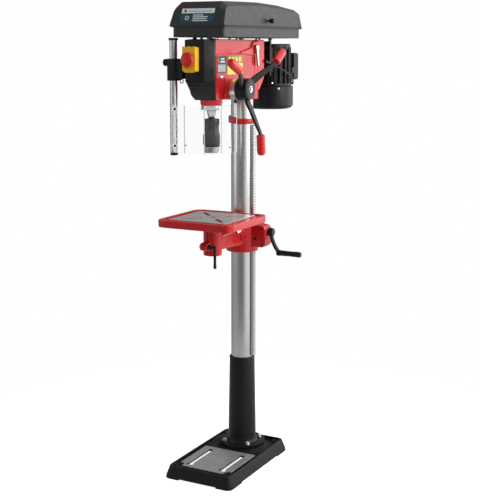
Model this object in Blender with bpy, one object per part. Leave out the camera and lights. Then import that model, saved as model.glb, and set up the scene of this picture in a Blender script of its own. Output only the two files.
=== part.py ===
"""Floor-standing pillar drill, built piece by piece.

Metres, +Z up. The front of the machine (chuck, table, switch) faces -Y and the
feed levers and the table crank are on the +X side. Shapes are written in machine
coordinates, whose Z axis is the column's axis at floor level; the empty named
machine moves them all so that the part's origin is the middle of its footprint.
"""
import math

import bmesh
import bpy
from mathutils import Matrix, Vector

# Driving dimensions.
COLUMN_PLACE = Vector((-0.0450, 0.0246, 0.0))
GAP = 0.0003

BASE_HALF_X = 0.134
BASE_FRONT_Y, BASE_REAR_Y = -0.339, 0.115
BASE_TOP_Z = 0.045
BASE_SLOPE = 0.012
BASE_FLOOR_Z = 0.035
PAD_LOW_Z = 0.034
SLOT_X, SLOT_FRONT_Y, SLOT_REAR_Y, SLOT_WIDTH = 0.065, -0.281, -0.114, 0.019

COLUMN_R, COLUMN_BORE_R, COLUMN_TOP_Z = 0.040, 0.036, 1.505
FOOT_FLANGE_R, FOOT_BOLT_CIRCLE_R, FOOT_TOP_Z = 0.083, 0.067, 0.380
SLEEVE_LOW_R, SLEEVE_TOP_R = 0.051, 0.046
FOOT_BOLT_R = 0.004

RACK_LOW_Z, RACK_TOP_Z, RACK_BACK_X, RACK_FACE_X, RACK_HALF_Y = 0.385, 1.231, 0.0405, 0.052, 0.009
RACK_PITCH, RACK_TOOTH = 0.0094, 0.0035
COLLAR_LOW_Z, COLLAR_TOP_Z, COLLAR_R = 1.234, 1.254, 0.049

HEAD_HALF_X, HEAD_FRONT_Y, HEAD_REAR_Y = 0.057, -0.290, 0.065
HEAD_LOW_Z, HEAD_TOP_Z, SOCKET_LOW_Z, SOCKET_R = 1.327, 1.529, 1.322, 0.057
NOSE_FRONT_Y, NOSE_HALF_FRONT, SEAM_LOW_Y, FOLD_Z = -0.333, 0.035, -0.262, 1.392

SPINDLE_Y = -0.222
QUILL_R, QUILL_BORE_R, QUILL_LOW_Z, QUILL_TOP_Z, QUILL_TRAVEL = 0.029, 0.020, 1.291, 1.505, 0.080
CHUCK_LOW_Z, CHUCK_TOP_Z, CHUCK_R = 1.152, 1.261, 0.029
JAW_CONE_LOW_R, JAW_CONE_TOP_R, JAW_CONE_TOP_Z = 0.0105, 0.0215, 1.205
JAW_LENGTH, JAW_HALF_WIDTH, JAW_TIP_R = 0.028, 0.0018, 0.0014

FEED_Y, FEED_Z, PINION_R = -0.185, 1.3635, 0.013
ARM_ANGLES = (5.0, 125.0, 245.0)
ARM_LEAN, ARM_END, GRIP_START, GRIP_R, GRIP_LENGTH = 0.41, 0.162, 0.153, 0.015, 0.070
ARM_X = 0.114

TUB_HALF_X, TUB_FRONT_Y, TUB_REAR_Y = 0.098, -0.313, 0.272
TUB_LOW_Z, TUB_TOP_Z, TUB_WALL, TUB_LIP = 1.535, 1.571, 0.003, 0.008
LID_WALL, LID_HINGE_X = 0.0025, -0.1095

IDLER_Y, MOTOR_Y = -0.004, 0.220
PULLEY_LOW_Z, PULLEY_STEP, PULLEY_RIM, GROOVE_DEPTH = 1.5520, 0.0190, 0.0045, 0.007
SPINDLE_STEPS = (0.060, 0.052, 0.044)
IDLER_STEPS = (0.034, 0.046, 0.058)
MOTOR_STEPS = (0.046, 0.038, 0.030)

MOTOR_R, MOTOR_LOW_Z, MOTOR_TOP_Z, FIN_COUNT = 0.078, 1.361, 1.515, 20
FAN_COVER_R, FAN_COVER_LOW_Z = 0.086, 1.277
GLAND, LEAD_BEND_R, LEAD_BEND_Z = (0.050, 0.2945), 0.030, 1.3960

TABLE_Y, TABLE_HALF, TABLE_LOW_Z, TABLE_TOP_Z, TABLE_CORNER = -0.217, 0.145, 0.900, 0.925, 0.040
PAD_HALF, GUTTER = 0.111, 0.018
TILT_Z, ARM_FACE_Y, STEM_R, STEM_CLAMP_R = 0.835, -0.0655, 0.015, 0.032
CLAMP_LOW_Z, CLAMP_TOP_Z = 0.793, 0.893
LOBE_Y, LOBE_Z, LOBE_R = -0.262, 0.828, 0.014
BRACKET_LOW_Z, BRACKET_TOP_Z, BRACKET_R = 0.775, 0.872, 0.058
CRANK_Z, GEAR_X, GEAR_Z, GEAR_R, WORM_R = 0.850, 0.0665, 0.826, 0.0135, 0.009
CRANK_THROW, CRANK_HUB_R = 0.073, 0.0145
LOCK_X, LOCK_Z = -0.066, 0.825

RAIL_X, RAIL_Y, RAIL_LOW_Z, RAIL_TOP_Z, RAIL_R = -0.1010, -0.300, 1.142, 1.532, 0.0130
SHIELD_LOW_Z, SHIELD_TOP_Z, SHIELD_WALL = 1.153, 1.312, 0.003
CLAMP_FACE_X, GUARD_KNOB_X, GUARD_KNOB_Z = -0.1180, -0.1195, 1.452

SWITCH_X, SWITCH_HALF_X, SWITCH_Z, SWITCH_LOW_Z, SWITCH_TOP_Z = -0.008, 0.026, 1.462, 1.422, 1.505
SWITCH_FRONT_Y, BUTTON_FRONT_Y = -0.355, -0.378
LEVER_Y, LEVER_Z = -0.014, 1.501

FINE, ROUND, SMALL = 28, 20, 12

# Castings whose faces hold many holes, which the EXACT solver leaves open.
MANY_HOLES = ("head_casting", "bracket", "table_arm", "motor_body", "table_top")


def clear_scene():
    for obj in list(bpy.data.objects):
        bpy.data.objects.remove(obj, do_unlink=True)


def make_material(name, colour, roughness, metallic=0.0, alpha=1.0):
    material = bpy.data.materials.new(name)
    material.use_nodes = True
    shader = material.node_tree.nodes["Principled BSDF"]
    shader.inputs["Base Color"].default_value = (*colour, 1.0)
    shader.inputs["Roughness"].default_value = roughness
    shader.inputs["Metallic"].default_value = metallic
    shader.inputs["Alpha"].default_value = alpha
    material.diffuse_color = (*colour, alpha)
    return material


clear_scene()
RED = make_material("red_paint", (0.52, 0.008, 0.012), 0.35)
BLACK = make_material("black_paint", (0.018, 0.019, 0.021), 0.45)
PLASTIC = make_material("black_plastic", (0.03, 0.03, 0.033), 0.5)
STEEL = make_material("ground_steel", (0.56, 0.55, 0.53), 0.28, 1.0)
CHROME = make_material("bright_steel", (0.72, 0.72, 0.72), 0.15, 1.0)
ALUMINIUM = make_material("aluminium", (0.75, 0.75, 0.76), 0.35, 1.0)
YELLOW = make_material("yellow_plastic", (0.95, 0.58, 0.01), 0.4)
RED_PLASTIC = make_material("red_plastic", (0.62, 0.008, 0.012), 0.35)
RUBBER = make_material("rubber", (0.02, 0.02, 0.02), 0.8)
CLEAR = make_material("clear_plastic", (0.9, 0.93, 0.95), 0.05, alpha=0.25)

PLACES = {}


def group(name, place):
    """An empty on a joint's axis, which carries the pieces that move about it."""
    empty = bpy.data.objects.new(name, None)
    bpy.context.scene.collection.objects.link(empty)
    PLACES[name] = Vector(place)
    if name == "machine":
        empty.location = COLUMN_PLACE
    else:
        empty.parent = MACHINE
        empty.location = place
    return empty


MACHINE = group("machine", (0, 0, 0))


# Outlines and solids, all in machine coordinates.
def circle(radius, count=ROUND, centre=(0.0, 0.0), phase=0.0):
    return [(centre[0] + radius * math.cos(phase + math.tau * i / count),
             centre[1] + radius * math.sin(phase + math.tau * i / count)) for i in range(count)]


def rounded_rectangle(low, high, radius, steps=3):
    """Corners low and high, with round corners of the given radius."""
    outline = []
    corners = ((high[0], high[1], 0), (low[0], high[1], 90), (low[0], low[1], 180), (high[0], low[1], 270))
    for x, y, start in corners:
        centre_x = x - math.copysign(radius, x - (low[0] + high[0]) / 2)
        centre_y = y - math.copysign(radius, y - (low[1] + high[1]) / 2)
        for i in range(steps + 1):
            angle = math.radians(start + 90 * i / steps)
            outline.append((centre_x + radius * math.cos(angle), centre_y + radius * math.sin(angle)))
    return outline


def axis_point(axis, u, v, w):
    """A point of an outline (u, v) at the distance w along the axis."""
    return {"X": (w, u, v), "Y": (u, w, v), "Z": (u, v, w)}[axis]


def loft(rings):
    """A closed solid through rings of equally many points, with flat ends."""
    bm = bmesh.new()
    loops = [[bm.verts.new(point) for point in ring] for ring in rings]
    count = len(rings[0])
    for lower, upper in zip(loops, loops[1:]):
        for i in range(count):
            j = (i + 1) % count
            bm.faces.new((lower[i], lower[j], upper[j], upper[i]))
    bm.faces.new(loops[0])
    bm.faces.new(loops[-1])
    return bm


def prism(outline, low, high, axis="Z"):
    return loft([[axis_point(axis, u, v, w) for u, v in outline] for w in (low, high)])


def block(low, high, radius=0.0):
    """A box from corner to corner; radius rounds its upright edges."""
    if radius:
        return prism(rounded_rectangle(low[:2], high[:2], radius), low[2], high[2])
    outline = ((low[0], low[1]), (high[0], low[1]), (high[0], high[1]), (low[0], high[1]))
    return prism(outline, low[2], high[2])


def turned(profile, count=ROUND, axis="Z", centre=(0.0, 0.0), ring=False):
    """A solid of revolution. The profile holds (radius, distance along the axis) points."""
    bm = bmesh.new()
    rows = []
    for radius, w in profile:
        if radius < 1e-6:
            rows.append([bm.verts.new(axis_point(axis, *centre, w))])
        else:
            rows.append([bm.verts.new(axis_point(axis, u, v, w)) for u, v in circle(radius, count, centre)])
    pairs = list(zip(rows, rows[1:]))
    if ring:
        pairs.append((rows[-1], rows[0]))
    for a, b in pairs:
        for i in range(count):
            j = (i + 1) % count
            corners = [a[i % len(a)], a[j % len(a)], b[j % len(b)], b[i % len(b)]]
            unique = list(dict.fromkeys(corners))
            if len(unique) > 2:
                bm.faces.new(unique)
    return bm


def rod(radius, low, high, axis="Z", centre=(0.0, 0.0), count=SMALL):
    return turned(((0, low), (radius, low), (radius, high), (0, high)), count, axis, centre)


def tube(outer, inner, low, high, axis="Z", centre=(0.0, 0.0), count=ROUND):
    return turned(((outer, low), (outer, high), (inner, high), (inner, low)), count, axis, centre,
                  ring=True)


def moved(bm, matrix):
    bmesh.ops.transform(bm, matrix=matrix, verts=bm.verts)
    return bm


def add(name, bm, material, parent=MACHINE, pivot=(0, 0, 0), turn=0.0):
    """Make the object of a solid. Its origin is the pivot; turn rotates it about X."""
    bmesh.ops.recalc_face_normals(bm, faces=bm.faces)
    pivot = Vector(pivot) if any(pivot) else PLACES[parent.name]
    bmesh.ops.translate(bm, verts=bm.verts, vec=-pivot)
    mesh = bpy.data.meshes.new(name)
    bm.to_mesh(mesh)
    bm.free()
    mesh.shade_smooth()
    mesh.set_sharp_from_angle(angle=math.radians(35))
    obj = bpy.data.objects.new(name, mesh)
    bpy.context.scene.collection.objects.link(obj)
    if material:
        mesh.materials.append(material)
    obj.parent = parent
    obj.location = pivot - PLACES[parent.name]
    obj.rotation_euler = (turn, 0, 0)
    return obj


def combine(obj, bm, operation):
    helper = add(f"{obj.name}_{operation.lower()}_{len(obj.modifiers)}", bm, None, obj.parent)
    helper.hide_render = True
    helper.display_type = "WIRE"
    modifier = obj.modifiers.new(helper.name, "BOOLEAN")
    modifier.operation = operation
    modifier.solver = "MANIFOLD" if obj.name in MANY_HOLES else "EXACT"
    modifier.object = helper
    return helper


def cut(obj, *solids):
    for bm in solids:
        combine(obj, bm, "DIFFERENCE")


def fuse(obj, *solids):
    for bm in solids:
        combine(obj, bm, "UNION")


def soften(obj, width, segments=1):
    modifier = obj.modifiers.new("edges", "BEVEL")
    modifier.width = width
    modifier.segments = segments
    modifier.limit_method = "ANGLE"
    modifier.angle_limit = math.radians(50)


# Stand: base, foot, column and the collar over the rack.
def base_ring(inset, z):
    outline = rounded_rectangle((-BASE_HALF_X + inset, BASE_FRONT_Y + inset),
                                (BASE_HALF_X - inset, BASE_REAR_Y - inset), 0.024 - 0.4 * inset)
    return [(x, y, z) for x, y in outline]


def build_stand():
    base = add("base_plate", loft([base_ring(0, 0), base_ring(0.001, 0.010),
                                   base_ring(BASE_SLOPE, BASE_TOP_Z)]), BLACK)
    hollow = loft([base_ring(0.008, -0.01), base_ring(0.009, 0.010), base_ring(BASE_SLOPE + 0.008, 0.026)])
    recess = loft([base_ring(BASE_SLOPE + 0.008, z) for z in (BASE_FLOOR_Z, BASE_TOP_Z + 0.01)])
    cut(base, hollow, recess)
    fuse(base, block((-0.103, -0.300, 0.030), (0.103, -0.092, 0.042), 0.006))
    fuse(base, rod(0.090, 0.020, BASE_TOP_Z - GAP, count=FINE))
    for side in (-1, 1):
        fuse(base, rod(0.016, 0.020, 0.040, centre=(side * 0.098, 0.082)))
        for y in (0.082, -0.290):
            cut(base, rod(0.006, -0.01, 0.06, centre=(side * 0.098, y), count=12))
        slot = rounded_rectangle((side * SLOT_X - SLOT_WIDTH / 2, SLOT_FRONT_Y),
                                 (side * SLOT_X + SLOT_WIDTH / 2, SLOT_REAR_Y), SLOT_WIDTH * 0.49)
        cut(base, prism(slot, -0.01, 0.06))
        cut(base, block((side * 0.043 - 0.041, -0.290, -0.01), (side * 0.043 + 0.041, -0.100, PAD_LOW_Z)))
        cut(base, block((side * 0.12 - 0.03, -0.25, -0.01), (side * 0.12 + 0.03, 0.03, 0.004)))
    for y in (BASE_FRONT_Y, BASE_REAR_Y):
        cut(base, block((-0.075, y - 0.02, -0.01), (0.075, y + 0.02, 0.004)))

    foot = add("column_foot", turned(
        ((FOOT_FLANGE_R, BASE_TOP_Z), (FOOT_FLANGE_R, 0.057), (0.058, 0.059), (SLEEVE_LOW_R, 0.070),
         (SLEEVE_TOP_R, FOOT_TOP_Z - 0.002), (SLEEVE_TOP_R - 0.002, FOOT_TOP_Z),
         (COLUMN_R + GAP, FOOT_TOP_Z), (COLUMN_R + GAP, BASE_TOP_Z)), FINE, ring=True), BLACK)
    for i in range(4):
        angle = math.radians(45 + 90 * i)
        spot = (FOOT_BOLT_CIRCLE_R * math.cos(angle), FOOT_BOLT_CIRCLE_R * math.sin(angle))
        hole_low = BASE_TOP_Z - 0.014
        cut(foot, rod(FOOT_BOLT_R + GAP, hole_low, 0.08, centre=spot, count=8))
        cut(base, rod(FOOT_BOLT_R + GAP, hole_low, 0.08, centre=spot, count=8))
        seat = 0.0590
        bolt = turned(((0, hole_low + 0.001), (FOOT_BOLT_R, hole_low + 0.001), (FOOT_BOLT_R, seat),
                       (0.0072, seat),
                       (0.0072, seat + 0.0065), (0.0058, seat + 0.008), (0, seat + 0.008)), 6, centre=spot)
        add(f"foot_bolt_{i + 1}", bolt, CHROME)
    add("column_tube", tube(COLUMN_R, COLUMN_BORE_R, BASE_TOP_Z + GAP, COLUMN_TOP_Z, count=FINE), STEEL)
    add("rack_collar", tube(COLLAR_R, COLUMN_R + GAP, COLLAR_LOW_Z, COLLAR_TOP_Z, count=FINE), RED)


# Head casting with its nose cover, spring housing, switch and quill bore.
def build_head():
    side = ((SEAM_LOW_Y, HEAD_LOW_Z), (-0.06, HEAD_LOW_Z + 0.012), (0.03, 1.355), (HEAD_REAR_Y, 1.395),
            (HEAD_REAR_Y, HEAD_TOP_Z), (HEAD_FRONT_Y, HEAD_TOP_Z), (HEAD_FRONT_Y, FOLD_Z))
    head = add("head_casting", prism(side, -0.0545, 0.0545, "X"), RED)
    soften(head, 0.003)
    fuse(head, turned(((0, SOCKET_LOW_Z), (SOCKET_R - 0.002, SOCKET_LOW_Z),
                       (SOCKET_R, SOCKET_LOW_Z + 0.002),
                       (SOCKET_R, HEAD_TOP_Z - 0.004), (0, HEAD_TOP_Z - 0.004)), FINE))
    fuse(head, turned(((0, 1.309), (0.0365, 1.309), (0.040, 1.345), (0, 1.345)), FINE,
                      centre=(0, SPINDLE_Y)))
    panel = [(-0.270, 1.345), (-0.035, 1.352), (-0.035, 1.458), (-0.041, 1.472), (-0.055, 1.480),
             (-0.270, 1.480)]
    fuse(head, prism(panel, -0.0575, 0.0575, "X"))
    fuse(head, rod(0.032, -0.063, 0.064, "X", (FEED_Y, FEED_Z)))
    ridge = [(-0.150, 1.478), (-0.045, 1.500), (-0.028, 1.520), (0.004, 1.520), (0.006, 1.494),
             (-0.03, 1.475)]
    fuse(head, prism(ridge, 0.040, 0.0605, "X"))
    for x, y in ((-0.04, -0.262), (0.04, -0.262), (-0.04, 0.045), (0.04, 0.045)):
        fuse(head, rod(0.006, HEAD_TOP_Z - 0.01, TUB_LOW_Z - GAP, centre=(x, y), count=12))
    for side in (-1, 1):
        taper = [(side * x, z) for x, z in ((0.0700, 1.400), (0.0555, 1.400), (0.0412, 1.3275),
                                            (0.0412, 1.300), (0.0700, 1.300))]
        cut(head, prism(taper, HEAD_FRONT_Y - 0.01, -0.228, "Y"))
    cut(head, rod(COLUMN_R + GAP, SOCKET_LOW_Z - 0.02, COLUMN_TOP_Z + 0.004, count=FINE))
    cut(head, rod(QUILL_R + 0.0005, 1.28, 1.56, centre=(0, SPINDLE_Y), count=FINE))
    cut(head, rod(PINION_R + 0.003, -0.080, 0.080, "X", (FEED_Y, FEED_Z)))
    cut(head, rod(0.0085, 1.490, 1.56, centre=(0, IDLER_Y), count=12))
    cut(head, rod(0.0055, 0.045, 0.08, "X", (LEVER_Y, LEVER_Z), count=12))
    for x in (-0.035, 0.035):
        cut(head, rod(0.0085, 0.044, 0.09, "Y", (x, 1.500), count=12))

    low_z, top_z = HEAD_LOW_Z, 1.527
    nose_outline = ((-0.0565, HEAD_FRONT_Y - GAP), (-0.0565, -0.300), (-NOSE_HALF_FRONT, NOSE_FRONT_Y),
                    (NOSE_HALF_FRONT, NOSE_FRONT_Y), (0.0565, -0.300), (0.0565, HEAD_FRONT_Y - GAP))
    low_outline = ((-0.041, SEAM_LOW_Y - GAP), (-0.041, -0.2635), (-0.027, -0.2700),
                   (0.027, -0.2700), (0.041, -0.2635), (0.041, SEAM_LOW_Y - GAP))
    rings = [[(x, y, low_z) for x, y in low_outline]]
    rings += [[(x, y, z) for x, y in nose_outline] for z in (FOLD_Z, top_z)]
    nose = add("nose_cover", loft(rings), PLASTIC)
    soften(nose, 0.002)
    for i in range(5):
        z = 1.396 + i * 0.0085
        cut(nose, block((-0.06, NOSE_FRONT_Y - 0.01, z), (0.06, NOSE_FRONT_Y + 0.0015, z + 0.003)))
    cut(nose, block((-0.045, -0.325, 1.40), (0.045, HEAD_FRONT_Y + 0.01, 1.52)))

    add("spring_cap", turned(((0.0085, -0.0635), (0.036, -0.0635), (0.036, -0.084), (0.032, -0.088),
                                    (0.0085, -0.088), (0.0085, -0.086), (0.033, -0.086), (0.033, -0.066),
                                    (0.0085, -0.066)), ROUND, "X", (FEED_Y, FEED_Z), ring=True), BLACK)
    turns, steps = 3.5, 42
    inner, outer = [], []
    for i in range(steps + 1):
        angle = math.tau * turns * i / steps
        radius = 0.0105 + 0.020 * i / steps
        for line, offset in ((inner, 0.0), (outer, 0.0012)):
            line.append((FEED_Y + (radius + offset) * math.cos(angle),
                         FEED_Z + (radius + offset) * math.sin(angle)))
    add("return_spring", prism(inner + outer[::-1], -0.083, -0.070, "X"), STEEL)

    box_outline = rounded_rectangle((SWITCH_X - SWITCH_HALF_X, SWITCH_LOW_Z),
                                    (SWITCH_X + SWITCH_HALF_X, SWITCH_TOP_Z), 0.008)
    box = add("switch_box", prism(box_outline, SWITCH_FRONT_Y, NOSE_FRONT_Y - GAP, "Y"), YELLOW)
    soften(box, 0.0015)
    cut(box, rod(0.0125, SWITCH_FRONT_Y - 0.01, SWITCH_FRONT_Y + 0.012, "Y", (SWITCH_X, SWITCH_Z)))
    button = turned(((0, SWITCH_FRONT_Y + 0.006), (0.0108, SWITCH_FRONT_Y + 0.006),
                     (0.0108, SWITCH_FRONT_Y - 0.006),
                     (0.0215, SWITCH_FRONT_Y - 0.008), (0.0225, SWITCH_FRONT_Y - 0.012),
                     (0.0205, BUTTON_FRONT_Y + 0.004), (0.012, BUTTON_FRONT_Y + 0.0008),
                     (0, BUTTON_FRONT_Y)),
                    ROUND, "Y", (SWITCH_X, SWITCH_Z))
    moved(button, Matrix.Translation((0, 0, SWITCH_Z)) @ Matrix.Scale(1.12, 4, (0, 0, 1))
          @ Matrix.Translation((0, 0, -SWITCH_Z)))
    add("stop_button", button, RED_PLASTIC, pivot=(SWITCH_X, SWITCH_FRONT_Y, SWITCH_Z))

    lever = add("tension_lever", rod(0.005, 0.048, 0.0685, "X", (LEVER_Y, LEVER_Z), 12), CHROME,
                pivot=(0.06, LEVER_Y, LEVER_Z))
    fuse(lever, rod(0.010, 0.062, 0.070, "X", (LEVER_Y, LEVER_Z)))
    reach, lean = 0.062, math.radians(9)
    bar = loft([[(x, y, -w) for x, y in rounded_rectangle((0.0632, -h), (0.0692, h), 0.002, 2)]
                for w, h in ((0.0, 0.0085), (reach * 0.9, 0.0050), (reach, 0.003))])
    fuse(lever, moved(bar, Matrix.Translation((0, LEVER_Y, LEVER_Z)) @ Matrix.Rotation(lean, 4, "X")))


# Quill, spindle and keyless chuck.
def build_spindle():
    quill_axis = group("quill_axis", (0, SPINDLE_Y, QUILL_LOW_Z))
    centre = (0, SPINDLE_Y)
    quill = add("quill", turned(((QUILL_BORE_R, QUILL_LOW_Z), (0.035, QUILL_LOW_Z), (0.035, 1.3075),
                                 (QUILL_R, 1.3075),
                                 (QUILL_R, QUILL_TOP_Z), (0.012, QUILL_TOP_Z), (0.012, 1.330),
                                 (QUILL_BORE_R, 1.330)),
                                FINE, centre=centre, ring=True), STEEL, quill_axis)
    slot_y = FEED_Y - PINION_R - 0.0017
    cut(quill, block((-0.0105, slot_y, 1.344), (0.0105, SPINDLE_Y + 0.05, 1.462)))
    add("lower_bearing", tube(QUILL_BORE_R - GAP, 0.0125 + GAP, 1.312, 1.328, centre=centre), CHROME,
        quill_axis)
    add("spindle", turned(((0, 1.236), (0.0080, 1.236), (0.0085, 1.2613), (0.0105, 1.2625),
                           (0.016, 1.2895), (0.018, 1.2895),
                           (0.018, 1.309), (0.0125, 1.311), (0.0125, 1.3295), (0.0085, 1.332),
                           (0.0085, 1.640), (0, 1.640)),
                          24, centre=centre), STEEL, quill_axis)

    ring_low, sleeve_top = 1.1705, 1.2405
    body = add("chuck_body", turned(
        ((0, 1.232), (0.0088, 1.232), (0.0088, CHUCK_TOP_Z), (0.0250, CHUCK_TOP_Z),
         (0.0268, CHUCK_TOP_Z - 0.002),
         (0.0268, sleeve_top), (0.0225, sleeve_top), (0.0225, ring_low), (0.0275, ring_low),
         (0.0215, CHUCK_LOW_Z),
         (JAW_CONE_LOW_R, CHUCK_LOW_Z), (JAW_CONE_TOP_R, JAW_CONE_TOP_Z), (JAW_CONE_TOP_R, 1.226),
         (0, 1.226)),
        ROUND, centre=centre), BLACK, quill_axis)
    for i in range(6):
        angle = math.tau * i / 6
        notch = block((0.0235, -0.0040, 1.249), (0.035, 0.0040, 1.27))
        cut(body, moved(notch, Matrix.Translation((0, SPINDLE_Y, 0)) @ Matrix.Rotation(angle, 4, "Z")))
    sleeve_profile = ((0.0228, ring_low + GAP), (0.0275, ring_low + GAP), (CHUCK_R, 1.180),
                      (CHUCK_R, 1.208),
                      (0.0245, 1.222), (0.0240, 1.233), (0.0250, sleeve_top - GAP),
                      (0.0228, sleeve_top - GAP))
    add("chuck_sleeve", turned(sleeve_profile, 24, centre=centre, ring=True), PLASTIC, quill_axis)
    slope = (JAW_CONE_TOP_R - JAW_CONE_LOW_R) / (JAW_CONE_TOP_Z - CHUCK_LOW_Z)
    tip_z = CHUCK_LOW_Z - 0.001
    outer_low = JAW_CONE_LOW_R + slope * (tip_z - CHUCK_LOW_Z) - 0.0007
    outline = ((JAW_TIP_R, tip_z), (outer_low, tip_z), (outer_low + slope * JAW_LENGTH, tip_z + JAW_LENGTH),
               (JAW_TIP_R, tip_z + JAW_LENGTH))
    for i in range(3):
        jaw = prism(outline, -JAW_HALF_WIDTH, JAW_HALF_WIDTH, "Y")
        moved(jaw, Matrix.Translation((0, SPINDLE_Y, 0)) @ Matrix.Rotation(math.tau * i / 3, 4, "Z"))
        add(f"chuck_jaw_{i + 1}", jaw, STEEL, quill_axis)


# Feed levers, their hub and the pinion that moves the quill.
def build_feed():
    feed_axis = group("feed_axis", (0, FEED_Y, FEED_Z))
    centre = (FEED_Y, FEED_Z)
    add("feed_shaft", turned(((0, -0.0855), (0.007, -0.0855), (0.007, -0.0095), (PINION_R, -0.009),
                              (PINION_R, 0.009),
                              (0.0085, 0.0095), (0.0085, 0.126), (0, 0.126)), 24, "X", centre), STEEL,
        feed_axis)
    add("depth_ring", tube(0.034, 0.0090, 0.0645, 0.0860, "X", centre, count=FINE), ALUMINIUM, feed_axis)
    hub_profile = ((0.0088, 0.0865), (0.036, 0.0865), (0.038, 0.0885), (0.038, 0.100), (0.036, 0.104),
                   (0.036, 0.127), (0.033, 0.130), (0.0088, 0.130))
    add("feed_hub", turned(hub_profile, ROUND, "X", centre, ring=True), BLACK, feed_axis)
    for i, degrees in enumerate(ARM_ANGLES):
        arm_rings = []
        for reach, half_width, half_thick in ((0.0365, 0.0120, 0.0055), (0.060, 0.0120, 0.0050),
                                              (0.125, 0.0090, 0.0045),
                                              (GRIP_START - 0.002, 0.0072, 0.0045),
                                              (ARM_END, 0.0070, 0.0045)):
            x = ARM_X + ARM_LEAN * (min(reach, GRIP_START - 0.002) - 0.035)
            arm_rings.append([(x + u, FEED_Y + v, FEED_Z - reach) for u, v in
                              rounded_rectangle((-half_thick, -half_width), (half_thick, half_width),
                                                0.003, 2)])
        arm = loft(arm_rings)
        angle = math.radians(degrees)
        arm_object = add(f"feed_arm_{i + 1}", arm, BLACK, feed_axis, turn=angle)
        soften(arm_object, 0.0008)
        length = GRIP_LENGTH
        start_x = ARM_X + ARM_LEAN * (GRIP_START - 0.037)
        grip = turned(((0, 0.012), (0.0098, 0.012), (0.0098, 0), (0.0125, 0), (GRIP_R, 0.004),
                       (GRIP_R, length - 0.008),
                       (0.011, length - 0.001), (0, length)), 24)
        place = Matrix.Translation((start_x, FEED_Y,
                                    FEED_Z - GRIP_START)) @ Matrix.Rotation(math.pi, 4, "Y")
        add(f"feed_grip_{i + 1}", moved(grip, place), RED_PLASTIC, feed_axis, turn=angle)


# Belt cover, pulleys, belts and motor.
def cone_pulley(steps, bore, hub_low, count=24):
    """A stepped V-pulley, its steps listed from the bottom up."""
    profile = [(bore, hub_low), (bore + 0.006, hub_low), (bore + 0.006, PULLEY_LOW_Z)]
    for i, radius in enumerate(steps):
        low = PULLEY_LOW_Z + i * PULLEY_STEP
        profile += [(radius, low), (radius, low + PULLEY_RIM), (radius - GROOVE_DEPTH, low + PULLEY_RIM),
                    (radius - GROOVE_DEPTH, low + PULLEY_STEP - PULLEY_RIM),
                    (radius, low + PULLEY_STEP - PULLEY_RIM)]
    top = PULLEY_LOW_Z + len(steps) * PULLEY_STEP
    return profile + [(steps[-1], top), (bore, top)]


def belt(step, front_y, front_radius, rear_y, rear_radius):
    """A belt in the given step's groove, round two pulleys on the machine's middle plane."""
    middle = PULLEY_LOW_Z + (step + 0.5) * PULLEY_STEP
    lean = math.asin((rear_radius - front_radius) / (rear_y - front_y))

    def outline(offset):
        points = []
        for y, radius, start, sweep in ((rear_y, rear_radius, -lean, math.pi + 2 * lean),
                                        (front_y, front_radius, math.pi + lean, math.pi - 2 * lean)):
            reach = radius - GROOVE_DEPTH + offset
            for i in range(13):
                angle = start + sweep * i / 12
                points.append((reach * math.cos(angle), y + reach * math.sin(angle)))
        return points

    bm = bmesh.new()
    half = 0.0042
    loops = []
    for offset, z in ((0.0008, -half * 0.75), (0.0080, -half), (0.0080, half), (0.0008, half * 0.75)):
        loops.append([bm.verts.new((x, y, middle + z)) for x, y in outline(offset)])
    count = len(loops[0])
    for a, b in zip(loops, loops[1:] + loops[:1]):
        for i in range(count):
            j = (i + 1) % count
            bm.faces.new((a[i], a[j], b[j], b[i]))
    return bm


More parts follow.
